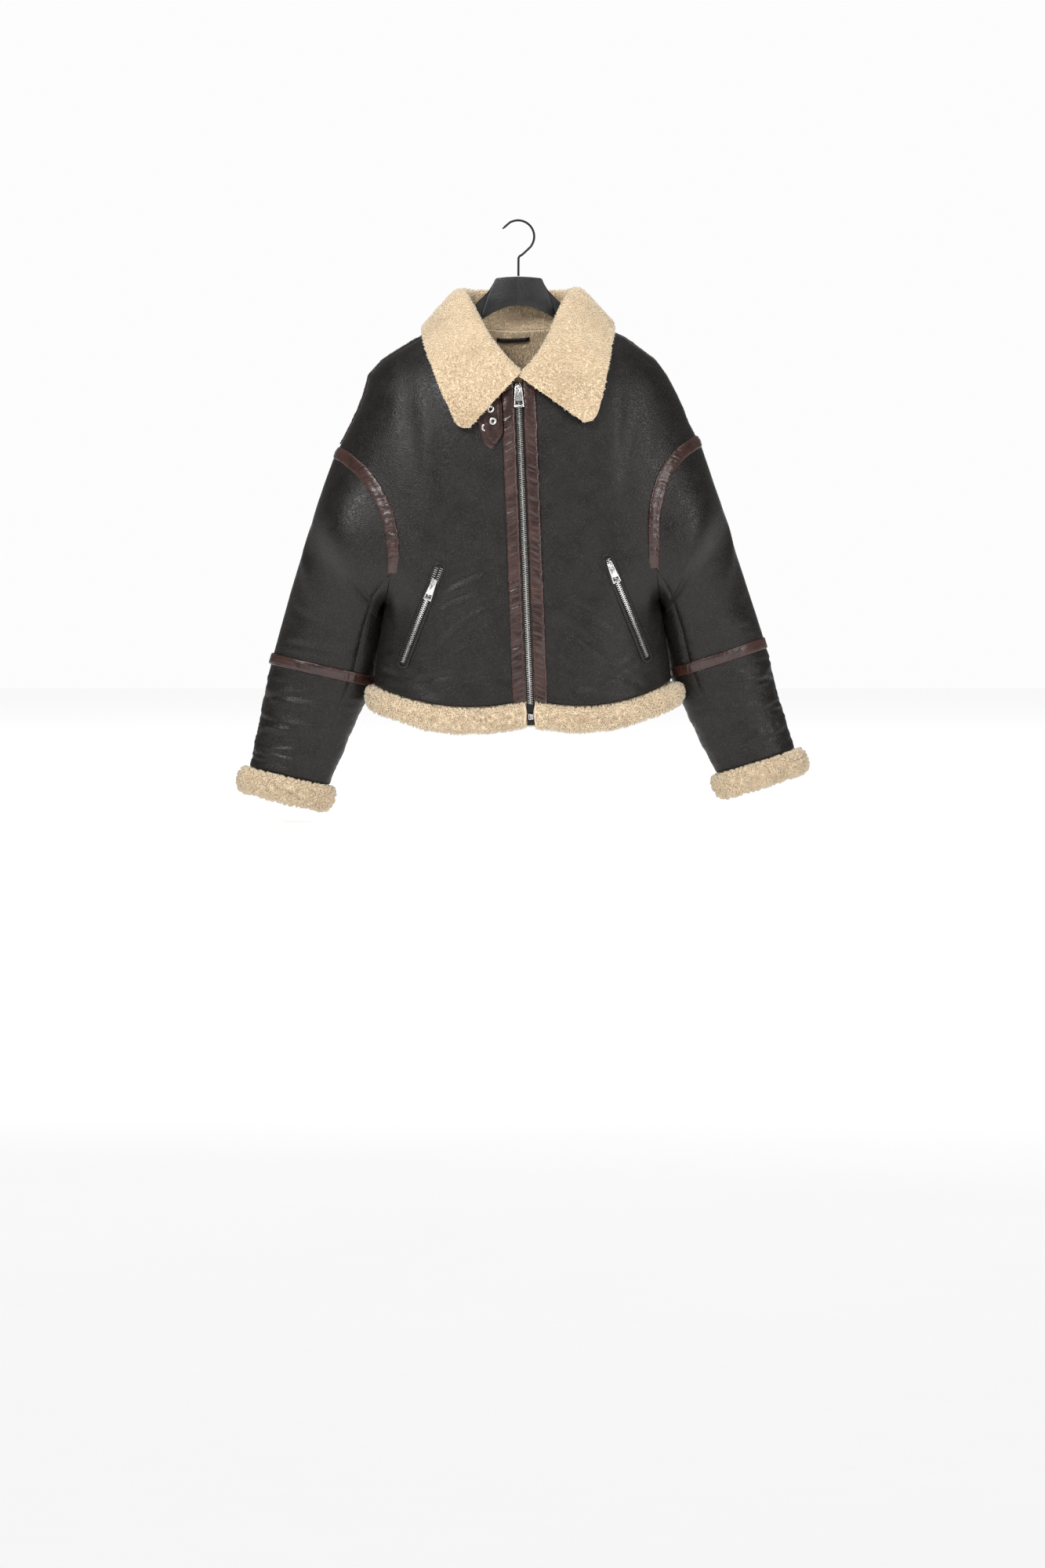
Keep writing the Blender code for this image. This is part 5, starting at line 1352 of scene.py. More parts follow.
def collar_middle(necks, rolls, edges):
    """The middle surface: up the stand, round the fold, down the fall."""
    along = unit(np.gradient(rolls, axis=0))
    rows = []
    for neck, top, edge, tangent in zip(necks, rolls, edges, along):
        rise = top - neck
        rise = unit(rise - np.dot(rise, tangent) * tangent)
        outward = unit(np.cross(tangent, rise))
        if np.dot(outward, edge - top) < 0:
            outward = -outward
        centre = top - rise * COLLAR_ROLL
        first = centre - outward * COLLAR_ROLL
        fall = edge - centre
        turn = math.atan2(np.dot(fall, outward), np.dot(fall, rise))
        reach = math.hypot(np.dot(fall, outward), np.dot(fall, rise))
        turn += math.asin(min(0.9, COLLAR_ROLL / reach))
        turn = min(turn, math.radians(178))
        row = [neck + (first - neck) * s for s in COLLAR_STAND]
        for s in COLLAR_ARC:
            angle = turn * s
            row.append(centre + COLLAR_ROLL * (math.sin(angle) * rise - math.cos(angle) * outward))
        last = row[-1]
        row += [last + (edge - last) * s for s in COLLAR_FALL]
        rows.append(row)
    return np.array(rows)


def add_collar(grids):
    necks, rolls, edges = collar_sections(grids)
    places = np.linspace(0, len(rolls) - 1, COLLAR_SECTIONS + 1)
    middle = collar_middle(smooth(necks, places), smooth(rolls, places), smooth(edges, places))
    span = np.abs(np.linspace(-1, 1, COLLAR_SECTIONS + 1))
    beside = ease_in(span, *FOLD_SETS_IN) * (1 - ease_in(span, *FOLD_ENDS))
    fold = np.exp(-((np.arange(middle.shape[1]) - FOLD_COLUMN) / FOLD_SPREAD) ** 2)
    middle[..., 0] -= FOLD_LEAN * np.tanh(middle[..., 0] / FOLD_MIDDLE) * beside[:, None] * fold
    normals = grid_normals(middle, 1.0)
    if normals[COLLAR_SECTIONS // 2, -2, 1] < 0:
        normals = -normals
    reach = WOOL_LOOK["collar"][0]
    distance = border_distance(middle)
    puff = 1.2 * ease_in(distance, 4.0, 26.0) + SOFT.at(middle, 30.0) * 0.9
    round_off = np.sqrt(np.clip(distance / 5.0, 0.0, 1.0))
    half = (COLLAR_HALF - reach * 0.75) * (0.25 + 0.75 * round_off)
    inset = reach * 0.55 * (1 - np.clip(distance / 6.0, 0, 1))
    across = unit(np.gradient(middle, axis=1))
    along = unit(np.gradient(middle, axis=0))
    middle = middle.copy()
    middle[:, -1] -= across[:, -1] * inset[:, -1:]
    middle[0] += along[0] * inset[0][:, None]
    middle[-1] -= along[-1] * inset[-1][:, None]
    outer = middle + normals * (half + puff * 0.5 * round_off)[..., None]
    at, front, back, edge = shell(outer, normals, half * 2 + puff * 0.5 * round_off, 1)
    facing = grid_normals(outer, 1.0)
    facing = facing * np.where(np.sum(facing * normals, axis=-1) < 0, -1.0, 1.0)[..., None]
    outs = np.concatenate([facing.reshape(-1, 3), -normals.reshape(-1, 3)])
    made["collar"] = add_wool("collar_pile", at, front, outs, *COLLAR_TUFTS, WOOL_LOOK["collar"],
                              [(1, back), (0, edge)])


# The wool seen inside the neck: half width, height of its foot, thickness, gap to the wall,
# and the heights above the neckline of the rows that close the chink to the collar
LINING_HALF = 92.0
LINING_FOOT_Z = -302.0
LINING_THICK = 0.6
LINING_GAP = 0.9
LINING_RISE = (9.0, 6.0, 3.0)


def add_neck_lining(panel):
    """The wool seen inside the back of the neck, up to the collar's stand."""
    x = np.linspace(-LINING_HALF, LINING_HALF, 75)
    neck = [(-at, z) for at, z in NECK_BACK[::-1]] + [(0.0, BACK_HEIGHT[-1])] + list(NECK_BACK)
    neck = np.array(neck, float)
    top = smooth(neck, np.interp(x, neck[:, 0], np.arange(len(neck))))[:, 1] - 0.6
    down = np.linspace(0, 1, 52)[:, None]
    z = top[None, :] + (LINING_FOOT_Z - top[None, :]) * down
    at, out = panel.lay(np.stack([np.broadcast_to(x, z.shape), z], axis=-1))
    inner = at - out * (WALL + LINING_GAP)
    rise = unit(inner[:1] - inner[1:2])
    inner = np.concatenate([inner[:1] + rise * step for step in LINING_RISE] + [inner])
    out = np.concatenate([out[:1]] * len(LINING_RISE) + [out])
    at, front, back, edge = shell(inner, -out, LINING_THICK)
    outs = np.concatenate([-out.reshape(-1, 3)] * 2)
    return add_wool("neck_lining_pile", at, front, outs, *LINING_TUFTS, WOOL_LOOK["lining"],
                    [(0, back), (0, edge)])


# Zips, pull tabs, pockets, strap, loop and hanger

TOOTH_PITCH = 3.2
TOOTH_STEP = 0.3
# A tooth seen from the front: across from the zip's middle, half width along it
TOOTH_NOSE = ((-1.2, 0.35), (-0.6, 0.74), (1.4, 0.76), (1.9, 0.68))
HANGER_PLATE_FRONT = -6.9
RIB_PITCH = 2.6
RIB_ANGLE = 32.0


class Panel:
    """Finds the outer face of the body, from the front or the back."""

    def __init__(self, grids, face):
        self.face = face
        ids = []
        start = 0
        for at, _ in grids:
            count = at.shape[0] * at.shape[1]
            quads = grid_quads(start + np.arange(count).reshape(at.shape[:2]))
            ids += [quads[:, :3], quads[:, [0, 2, 3]]]
            start += count
        self.faces = np.concatenate(ids)
        self.points = np.concatenate([at.reshape(-1, 3) for at, _ in grids])
        self.normals = np.concatenate([out.reshape(-1, 3) for _, out in grids])
        self.tree = BVHTree.FromPolygons(self.points.tolist(), self.faces.tolist())

    def at(self, x, z):
        hit, _, index, _ = self.tree.ray_cast(Vector((x, self.face * 400.0, z)), Vector((0, -self.face, 0)))
        corners = self.points[self.faces[index]]
        flat = np.array([[c[0], c[2], 1.0] for c in corners]).T
        weights = np.linalg.solve(flat, np.array([x, z, 1.0]))
        return np.array(hit), unit(weights @ self.normals[self.faces[index]])

    def lay(self, places):
        """Points and normals at a grid of x and z places."""
        places = np.asarray(places, float)
        found = [self.at(x, z) for x, z in places.reshape(-1, 2)]
        shape = (*places.shape[:-1], 3)
        return np.array([f[0] for f in found]).reshape(shape), np.array([f[1] for f in found]).reshape(shape)


def hardware_frame(origin, out, down):
    """Origin, across, down and outward, in which plates are cut."""
    out = unit(np.asarray(out, float))
    down = np.asarray(down, float)
    down = unit(down - np.dot(down, out) * out)
    return np.asarray(origin, float), np.cross(down, out), down, out


def rounded(corners, radius, steps=5):
    """A closed outline with its corners rounded off."""
    corners = np.asarray(corners, float)
    outline = []
    for before, corner, after in zip(np.roll(corners, 1, axis=0), corners, np.roll(corners, -1, axis=0)):
        first = before - corner
        last = after - corner
        first = corner + unit(first) * min(radius, np.linalg.norm(first) * 0.45)
        last = corner + unit(last) * min(radius, np.linalg.norm(last) * 0.45)
        for share in np.linspace(0, 1, steps):
            outline.append((1 - share) ** 2 * first + 2 * share * (1 - share) * corner + share ** 2 * last)
    return np.array(outline)


def box_outline(x, y, half_wide, half_high, radius):
    return rounded([(x - half_wide, y - half_high), (x + half_wide, y - half_high),
                    (x + half_wide, y + half_high), (x - half_wide, y + half_high)], radius)


def add_plate(name, frame, outlines, low, high, bevel, look):
    """A bevelled plate with holes, cut in the frame's first two directions."""
    curve = bpy.data.curves.new(name, "CURVE")
    curve.dimensions = "2D"
    curve.fill_mode = "BOTH"
    curve.extrude = (high - low) / 2 - bevel
    curve.bevel_depth = bevel
    curve.bevel_resolution = 1
    curve.offset = -bevel
    for outline in outlines:
        spline = curve.splines.new("POLY")
        spline.points.add(len(outline) - 1)
        for point, (x, y) in zip(spline.points, outline):
            point.co = (x, y, 0.0, 1.0)
        spline.use_cyclic_u = True
    cutter = bpy.data.objects.new(name, curve)
    bpy.context.scene.collection.objects.link(cutter)
    flat = bpy.data.meshes.new_from_object(cutter.evaluated_get(bpy.context.evaluated_depsgraph_get()))
    bpy.data.objects.remove(cutter)
    bpy.data.curves.remove(curve)
    solid = bmesh.new()
    solid.from_mesh(flat)
    bpy.data.meshes.remove(flat)
    bmesh.ops.remove_doubles(solid, verts=solid.verts, dist=1e-4)
    bmesh.ops.recalc_face_normals(solid, faces=solid.faces)
    origin, across, down, out = frame
    for vert in solid.verts:
        x, y, z = vert.co
        vert.co = Vector((origin + across * x + down * y + out * (z + (low + high) / 2)) * MM)
    mesh = bpy.data.meshes.new(name)
    solid.to_mesh(mesh)
    solid.free()
    mesh.materials.clear()
    mesh.materials.append(look)
    mesh.shade_smooth()
    mesh.set_sharp_from_angle(angle=math.radians(32))
    plate = bpy.data.objects.new(name, mesh)
    bpy.context.scene.collection.objects.link(plate)
    return plate


def add_teeth(name, line, outs, half, thick, parted=None):
    """Both rows of a zip's teeth along a line; parted gives how far a row stands off the middle."""
    run = lengths_along(line)
    along = unit(np.gradient(line, axis=0))
    nose = np.array([*TOOTH_NOSE, (half - 0.3, 0.68), (half, 0.5)])
    outline = np.concatenate([nose, nose[::-1] * (1, -1)])
    centre = outline.mean(axis=0)
    top = centre + (outline - centre) * (0.93, 0.66)
    rings = [(outline, 0.0), (outline, thick - TOOTH_STEP), (top, thick)]
    corners = len(outline)
    ids = np.arange(3 * corners).reshape(3, corners)
    ids = np.concatenate([ids, ids[:, :1]], axis=1)
    sides = grid_quads(ids)
    caps = [(0, k + 1, k) for k in range(1, corners - 1)]
    caps += [(2 * corners, 2 * corners + k, 2 * corners + k + 1) for k in range(1, corners - 1)]
    points, quads, fans = [], [], []
    start = 0
    for sign in (-1.0, 1.0):
        spots = np.arange(TOOTH_PITCH * (0.75 if sign > 0 else 0.25), run[-1] - 0.8, TOOTH_PITCH)
        at = values_at(spots, run, line)
        forward = unit(values_at(spots, run, along))
        out = unit(values_at(spots, run, outs))
        aside = unit(np.cross(forward, out)) * sign
        off = parted(spots) if parted else np.zeros(len(spots))
        ring_points = []
        for ring, height in rings:
            for u, v in ring:
                ring_points.append(at + aside * (u + off)[:, None] + forward * v + out * height)
        points.append(np.stack(ring_points, axis=1).reshape(-1, 3))
        first = start + np.arange(len(spots))[:, None, None] * 3 * corners
        order = 1 if sign < 0 else -1
        quads.append((first + sides[None, :, ::order]).reshape(-1, 4))
        fans.append((first + np.array(caps)[None, :, ::order]).reshape(-1, 3))
        start += len(spots) * 3 * corners
    teeth = add_mesh(name, np.concatenate(points), [(0, np.concatenate(quads)), (0, np.concatenate(fans))],
                     [NICKEL])
    teeth.data.set_sharp_from_angle(angle=math.radians(40))
    return teeth


def add_ribbon(name, line, outs, offsets, lifts, thickness, look):
    """A thin closed strip laid along a line."""
    along = unit(np.gradient(line, axis=0))
    aside = unit(np.cross(along, outs))
    points = (line[:, None] + aside[:, None] * np.asarray(offsets, float)[None, :, None]
              + outs[:, None] * np.asarray(lifts, float)[None, :, None])
    normals = np.broadcast_to(outs[:, None], points.shape)
    return add_strip(name, points, normals, thickness, look)


# Half of a slider plate's outline: out from the middle, down. The bridge's: down, out
SLIDER_HALF = ((0.0, -4.6), (1.5, -6.4), (3.3, -6.6), (4.6, -5.4), (4.9, -3.6), (4.3, -0.5),
               (3.9, 3.5), (3.6, 6.3))
BRIDGE = ((-4.5, 1.9), (-4.5, 6.0), (-3.1, 7.5), (3.1, 7.5), (4.5, 6.0), (4.5, 1.9),
          (3.3, 1.9), (3.3, 5.5), (2.6, 6.3), (-2.6, 6.3), (-3.3, 5.5), (-3.3, 1.9))
BRIDGE_HALF_WIDE = 1.2
SLIDER_BACK = 0.2
SLIDER_FRONT = 2.45


def add_slider(name, frame, scale):
    """A zip slider: a plate with two rounded shoulders, and the bridge that holds the tab."""
    outline = [(x * scale, y * scale) for x, y in SLIDER_HALF]
    outline += [(-x, y) for x, y in outline[:0:-1]]
    plate = add_plate(name, frame, [rounded(outline, 0.8 * scale, 3)], SLIDER_BACK, SLIDER_FRONT, 0.45,
                      NICKEL)
    origin, across, down, out = frame
    bridge = [(y * scale, height) for y, height in BRIDGE]
    half = BRIDGE_HALF_WIDE * scale
    arch = add_plate(f"{name}_bridge", (origin, down, out, across), [rounded(bridge, 0.9, 4)], -half, half,
                     0.35, NICKEL)
    arch.parent = plate
    return plate


def add_tab(name, frame, size, scale):
    """A pull tab with its slot over the bridge and an open window near the foot."""
    length = size["length"]
    top = size["top"] / 2
    foot = size["foot"] / 2
    window_wide, window_high = size["window"]
    slot_foot = 6.2 * scale + 0.4
    outlines = [
        rounded([(-top, -1.05), (top, -1.05), (foot, length), (-foot, length)], 1.0),
        box_outline(0.0, (0.9 + slot_foot) / 2, 1.8, (slot_foot - 0.9) / 2, 1.7),
        box_outline(0.0, length - 3.6 - window_high / 2, window_wide / 2, window_high / 2, 0.8),
    ]
    return add_plate(name, frame, outlines, BAR_OUT - TAB_THICK / 2, BAR_OUT + TAB_THICK / 2, 0.35, NICKEL)


def main_zip_line(panel):
    """The main zip's middle on the panels' outer face, carried straight on below the hem."""
    points, outs = [], []
    for z in np.linspace(ZIP_HEAD_Z - 1.0, FRONT_HEIGHT[0] + 1.0, 110):
        left, left_out = panel.at(zip_x(z) - ZIP_HALF - 0.3, z)
        right, right_out = panel.at(zip_x(z) + ZIP_HALF + 0.3, z)
        points.append((left + right) / 2)
        outs.append(unit((left_out + right_out) * (0.0, 1.0, 1.0)))
    low_at, low_out = points[-1], outs[-1]
    for drop in np.linspace(5.0, FRONT_HEIGHT[0] - ZIP_FOOT_Z, 8):
        points.append(low_at + np.array([ZIP_LEAN * drop, 0.0, -drop]))
        outs.append(low_out)
    return np.array(points), np.array(outs)


# How far the lower slider and the box stand off the zip's middle line
LOW_HARDWARE_LIFT = 1.4
LOW_SLIDER = ((-4.4, -5.2), (-3.0, -6.0), (3.0, -6.0), (4.4, -5.2), (4.4, 3.0), (2.6, 6.0),
              (-2.6, 6.0), (-4.4, 3.0))


def add_main_zip(panel):
    line, outs = main_zip_line(panel)
    half = ZIP_HALF - 0.5
    offsets = (-half, -half + 0.5, -5.0, -4.5, -1.0, 1.0, 4.5, 5.0, half - 0.5, half)
    lifts = (-0.7, -0.4, -0.35, -0.15, -0.15, -0.15, -0.15, -0.35, -0.4, -0.7)
    made["main_zip_tape"] = add_ribbon("main_zip_tape_woven", line, outs, offsets, lifts,
                                       ZIP_TAPE_THICK - 0.3, TAPE)
    reach = (line[:, 2] <= ZIP_SLIDER_Z - 3.0) & (line[:, 2] >= ZIP_LOW_SLIDER_Z + 3.0)
    made["main_zip_teeth"] = add_teeth("main_zip_chain", line[reach], outs[reach], ZIP_TEETH_HALF,
                                       ZIP_TEETH_THICK)
    order = np.argsort(line[:, 2])

    def frame_at(z, lift):
        at, out = (values_at(z, line[order, 2], rows[order]) for rows in (line, outs))
        return hardware_frame(at + out * lift, out, (ZIP_LEAN, 0.0, -1.0))

    top_frame = frame_at(ZIP_SLIDER_Z - 3.0, ZIP_TEETH_THICK + HARDWARE_GAP)
    made["main_slider"] = add_slider("main_zip_slider", top_frame, 1.0)
    tabs["main_tab"] = add_tab("main_pull_tab", top_frame, MAIN_TAB, 1.0)
    made["main_low_slider"] = add_plate(
        "main_zip_low_slider", frame_at(ZIP_LOW_SLIDER_Z, LOW_HARDWARE_LIFT), [rounded(LOW_SLIDER, 1.2)],
        0.0, 3.4, 0.7, BLACK_METAL)
    box = [box_outline(0, 0, 3.8, 4.2, 0.9), box_outline(1.4, 0.4, 0.45, 2.9, 0.4)]
    made["main_zip_box"] = add_plate("main_zip_retainer", frame_at(ZIP_BOX_Z, LOW_HARDWARE_LIFT), box,
                                     0.0, 3.0, 0.45, NICKEL)


def add_pocket(side, panel):
    place = POCKETS[side]
    top = np.array(place["top"])
    foot = np.array(place["foot"])
    length = np.linalg.norm(foot - top)
    down = (foot - top) / length
    across = np.array([-down[1], down[0]])
    if across[0] < 0:
        across = -across
    stations = top + np.linspace(-3.0, length + 3.0, 64)[:, None] * down
    line, outs = panel.lay(stations)
    strip = add_ribbon(f"pocket_tape_{side}", line, outs, (-4.8, -4.2, -0.8, 0.8, 4.2, 4.8),
                       (0.7, 1.0, 1.05, 1.05, 1.0, 0.7), 0.7, TAPE)
    run = lengths_along(line)
    keep = (run >= 2.5) & (run <= run[-1] - 2.5)
    start = place["slider"] + 3.0

    def parted(spots):
        if side == "right":
            return POCKET_PARTED * (1 - ease_in(spots, start - 6.0, start + 1.0))
        return np.zeros(len(spots))

    chain = add_teeth(f"pocket_chain_{side}", (line + outs * 1.1)[keep], outs[keep], POCKET_TEETH_HALF,
                      1.9, parted)
    made[f"pocket_zip_{side}"] = chain
    strip.parent = chain
    add_welt(side, panel, top, down, across, length)
    at, out = panel.at(*(top + down * place["slider"]))
    away = POCKET_GAP + POCKET_WELT_THICK + HARDWARE_GAP
    frame = hardware_frame(at + out * away, out, (down[0], 0.0, down[1]))
    made[f"pocket_slider_{side}"] = add_slider(f"pocket_zip_slider_{side}", frame, POCKET_SCALE)
    tabs[f"pocket_tab_{side}"] = add_tab(f"pocket_pull_tab_{side}", frame, POCKET_TAB, POCKET_SCALE)


def loop_places(top, down, across, length, offset, pitch):
    """A rounded loop round a pocket's zip at an offset from its teeth line."""
    past = offset - POCKET_WELT_INNER + 4.0
    corners = [(-offset, -past), (offset, -past), (offset, length + past), (-offset, length + past)]
    outline = rounded(corners, 3.0 + offset - POCKET_WELT_INNER, 7)
    outline = np.concatenate([outline, outline[:1]])
    run = lengths_along(outline)
    spots = np.linspace(0, run[-1], int(run[-1] / pitch) + 1) if pitch else run
    flat = values_at(spots, run, outline)
    return top + flat[:, :1] * across + flat[:, 1:] * down


# The welt's height across, from its inner to its outer edge; its stitches' offset and height
WELT_HEIGHTS = (2.1, 2.5, 2.55, 2.45, 2.3, 2.1, 1.75)
WELT_THICK = 1.5
WELT_STITCH_OFFSET = 7.4
WELT_STITCH_HEIGHT = 2.15


def add_welt(side, panel, top, down, across, length):
    """The pocket's leather lips: one padded ring round the zip, stitched down."""
    offsets = np.linspace(POCKET_WELT_INNER, POCKET_WELT_OUTER, 7)
    loops = [loop_places(top, down, across, length, offset, None) for offset in offsets]
    share = np.linspace(0, 1, 150)
    places = []
    for loop in loops:
        run = lengths_along(loop)
        places.append(values_at(share * run[-1], run, loop))
    points, outs = panel.lay(np.array(places))
    height = np.array(WELT_HEIGHTS)[:, None]
    height = height + SOFT.at(points, 7.0) * 0.18
    raised = points + outs * height[..., None]
    raised[:, -1] = raised[:, 0]
    welt = add_strip(f"pocket_welt_{side}_leather", raised, outs, WELT_THICK, LEATHER, closed=True)
    made[f"pocket_welt_{side}"] = welt
    line, outs = panel.lay(loop_places(top, down, across, length, WELT_STITCH_OFFSET, 1.2))
    add_stitches(f"pocket_welt_{side}_stitches", line + outs * WELT_STITCH_HEIGHT, outs, welt,
                 BLACK_THREAD, 3.0)


# Throat strap: rows from the collar down to the point: x of both edges, height of each edge
STRAP = ((-55, -27, -285, -266), (-53, -25, -300, -284), (-50.5, -23.5, -318, -304),
         (-47, -23, -331, -324), (-38.5, -33.5, -341, -341))
UNDER_STRAP = ((-64, -44, -292, -282), (-61, -40, -307, -300), (-56, -38, -325, -322),
               (-52, -36, -340, -340), (-41.5, -36.5, -348, -348))
STRAP_THICK = 1.8
# How far the strap climbs over the placket, and how far before its edge the climb starts and ends
STRAP_CLIMB = PLACKET_THICK + 1.2
STRAP_CLIMB_STARTS = 4.0
STRAP_CLIMB_ENDS = 0.5
EYELETS = ((-38.0, -306.0), (-41.5, -288.0))
UNDER_EYELET = (-50.0, -315.5)
EYELET_OUTER = 5.7
EYELET_INNER = 2.3
EYELET_STEPS = 40
EYELET_PROFILE = (
    (EYELET_INNER, 0.0), (EYELET_OUTER, 0.0), (EYELET_OUTER, 0.35), (EYELET_OUTER - 0.5, 0.85),
    (EYELET_OUTER - 1.3, 1.1), (EYELET_INNER + 0.9, 0.95), (EYELET_INNER + 0.2, 0.5),
)


def add_eyelet(name, panel, place, lift):
    """A pressed metal ring on the leather, turned from a profile of radius and height."""
    at, out = panel.at(*place)
    origin, across, down, out = hardware_frame(at + out * lift, out, (0.0, 0.0, -1.0))
    profile = np.array(EYELET_PROFILE)
    angles = np.linspace(0, 2 * math.pi, EYELET_STEPS, endpoint=False)[:, None, None]
    points = (origin + np.cos(angles) * profile[None, :, :1] * across
              + np.sin(angles) * profile[None, :, :1] * down + profile[None, :, 1:] * out)
    ids = np.arange(EYELET_STEPS * len(profile)).reshape(EYELET_STEPS, -1)
    ids = np.concatenate([ids, ids[:, :1]], axis=1)
    ids = np.concatenate([ids, ids[:1]], axis=0)
    return add_mesh(name, points.reshape(-1, 3), [(0, grid_quads(ids)[:, ::-1])], [NICKEL])


def add_strap(panel):
    lift = LAY_GAP
    shares = np.array([0.0, 0.03, 0.09, 0.15, 0.25, 0.38, 0.5, 0.62, 0.75, 0.85, 0.91, 0.97, 1.0])
    for node, table, seed in (("throat_strap_under", UNDER_STRAP, 3.0), ("throat_strap", STRAP, 4.0)):
        rows = np.concatenate([np.linspace(0, 3, 25), np.linspace(3, 4, 10)[1:]])
        table = np.array(table, float)
        edges = values_at(rows, np.arange(len(table)), table)
        x = edges[:, :1] + (edges[:, 1:2] - edges[:, :1]) * shares
        z = edges[:, 2:3] + (edges[:, 3:] - edges[:, 2:3]) * shares
        at, out = panel.lay(np.stack([x, z], axis=-1))
        seam = zip_x(z) - ZIP_HALF - PLACKET_WIDTH
        step = STRAP_CLIMB * ease_in(x, seam - STRAP_CLIMB_STARTS, seam - STRAP_CLIMB_ENDS)
        border = border_distance(at, ("high", "start", "end"))
        crown = 0.5 * ease_in(border, 1.2, 3.0) - 0.35 * np.exp(-((border - 2.4) / 0.6) ** 2)
        creases = CRUSH.at(at + seed * 30.0, 8.0) * 0.55 * ease_in(border, 2.0, 5.0)
        raised = at + out * (lift + STRAP_THICK + step + crown + creases)[..., None]
        strap = add_strip(f"{node}_leather", raised, out, STRAP_THICK, BROWN, sharp=STRIP_SHARP)
        made[node] = strap
        path = np.concatenate([raised[:-2, 2], raised[-3, 3:-3], raised[-3::-1, -3]])
        path_out = np.concatenate([out[:-2, 2], out[-3, 3:-3], out[-3::-1, -3]])
        add_stitches(f"{node}_stitches", path, path_out, strap, THREAD, 3.2)
        lift += STRAP_THICK + 0.5
    for number, place in enumerate(EYELETS, 1):
        made[f"eyelet_{number}"] = add_eyelet(f"eyelet_{number}_ring", panel, place, lift + 1.0)
    under = add_eyelet("under_strap_eyelet", panel, UNDER_EYELET, LAY_GAP + STRAP_THICK + 0.5)
    under.parent = made["throat_strap_under"]


# Hanger loop inside the back of the neck
LOOP_FROM_X = -34.0
LOOP_TO_X = 18.0
LOOP_MIDDLE_Z = -175.5
LOOP_OFF_WALL = 7.4


def add_loop(panel):
    """A narrow leather loop, sewn down at its ends, over the wool of the neck."""
    share = np.linspace(0, 1, 40)
    x = LOOP_FROM_X + (LOOP_TO_X - LOOP_FROM_X) * share
    z = LOOP_MIDDLE_Z - 1.2 * np.sin(math.pi * share) + 1.0 * (share - 0.5)
    at, out = panel.lay(np.stack([x, z], axis=1))
    ends = ease_in(share, 0.0, 0.10) * ease_in(1 - share, 0.0, 0.10)
    line = at - out * (WALL + LOOP_OFF_WALL - 3.0 * (1 - ends))[:, None]
    made["hanger_loop"] = add_ribbon("hanger_loop_leather", line, -out, (-3.2, -2.6, -1.2, 1.2, 2.6, 3.2),
                                     (-0.7, 0.1, 0.5, 0.5, 0.1, -0.7), 1.6, LEATHER)


# Outline of the plate at the hanger's middle: x, height. Its ribs fill the half left of the
# field's edge, inside the outline drawn in by these shares
HUB = (
    (-34.5, -86.8), (-18.0, -85.0), (0.0, -84.2), (18.0, -85.0), (36.0, -86.8), (47.0, -113.0),
    (58.4, -149.4), (50.0, -145.0), (40.0, -139.0), (30.0, -134.6), (20.0, -131.0), (10.0, -129.0),
    (0.0, -128.4), (-10.0, -129.2), (-20.0, -131.6), (-30.0, -135.4), (-40.0, -140.0),
    (-50.0, -146.4), (-58.8, -151.2), (-46.5, -114.0),
)
RIB_MIDDLE = np.array([-18.0, -112.0])
FIELD_MIDDLE = np.array([0.0, -112.0])
FIELD_SHARE = (0.955, 0.93)
FIELD_EDGE_X = -1.5


def inside(outline, x, z):
    """Whether points lie within a closed outline."""
    found = np.zeros(np.shape(x), bool)
    for (ax, az), (bx, bz) in zip(outline, np.roll(outline, -1, axis=0)):
        crosses = (az > z) != (bz > z)
        rise = bz - az if bz != az else 1e-9
        found ^= crosses & (x < ax + (z - az) * (bx - ax) / rise)
    return found


def add_hanger():
    outline = rounded(HUB, 3.0, 4)
    frame_rows = ((0.0, HANGER_PLATE_FRONT, 0.0), (1.0, 0.0, 0.0), (0.0, 0.0, 1.0), (0.0, -1.0, 0.0))
    plate = add_plate("hanger_hub", np.array(frame_rows), [outline], 0.0, PLATE_THICK, 0.8, PLASTIC)
    made["hanger_plate"] = plate
    field = FIELD_MIDDLE + (outline - FIELD_MIDDLE) * FIELD_SHARE
    turn = math.radians(RIB_ANGLE)
    along = np.array([math.cos(turn), math.sin(turn)])
    aside = np.array([-math.sin(turn), math.cos(turn)])
    spots = np.linspace(-75, 75, 601)
    points, faces, fans = [], [], []
    for number in range(-16, 22):
        places = RIB_MIDDLE + spots[:, None] * along + number * RIB_PITCH * aside
        found = spots[inside(field, places[:, 0], places[:, 1]) & (places[:, 0] < FIELD_EDGE_X)]
        if len(found) < 12:
            continue
        start = len(points)
        for spot, grow in ((found[0], 0.3), (found[0] + 1.0, 1.0), (found[-1] - 1.0, 1.0), (found[-1], 0.3)):
            centre = RIB_MIDDLE + spot * along + number * RIB_PITCH * aside
            for side, height in ((-0.85, -0.2), (0.0, 0.55), (0.85, -0.2)):
                x, z = centre + aside * side * grow
                points.append((x, HANGER_PLATE_FRONT - PLATE_THICK - height * grow, z))
        for k in range(3):
            low = start + k * 3
            for a, b in ((0, 1), (1, 2), (2, 0)):
                faces.append((low + a, low + b, low + 3 + b, low + 3 + a))
        fans += [(start, start + 2, start + 1), (start + 9, start + 10, start + 11)]
    ribs = add_mesh("hanger_ribs", points, [(0, faces), (0, fans)], [PLASTIC], smooth_shade=False)
    ribs.parent = plate


HOOK_WIRE = 1.7
HOOK_CENTRE = (-0.2, -22.9)
HOOK_RADIUS = 24.6
HOOK_STEPS = 16


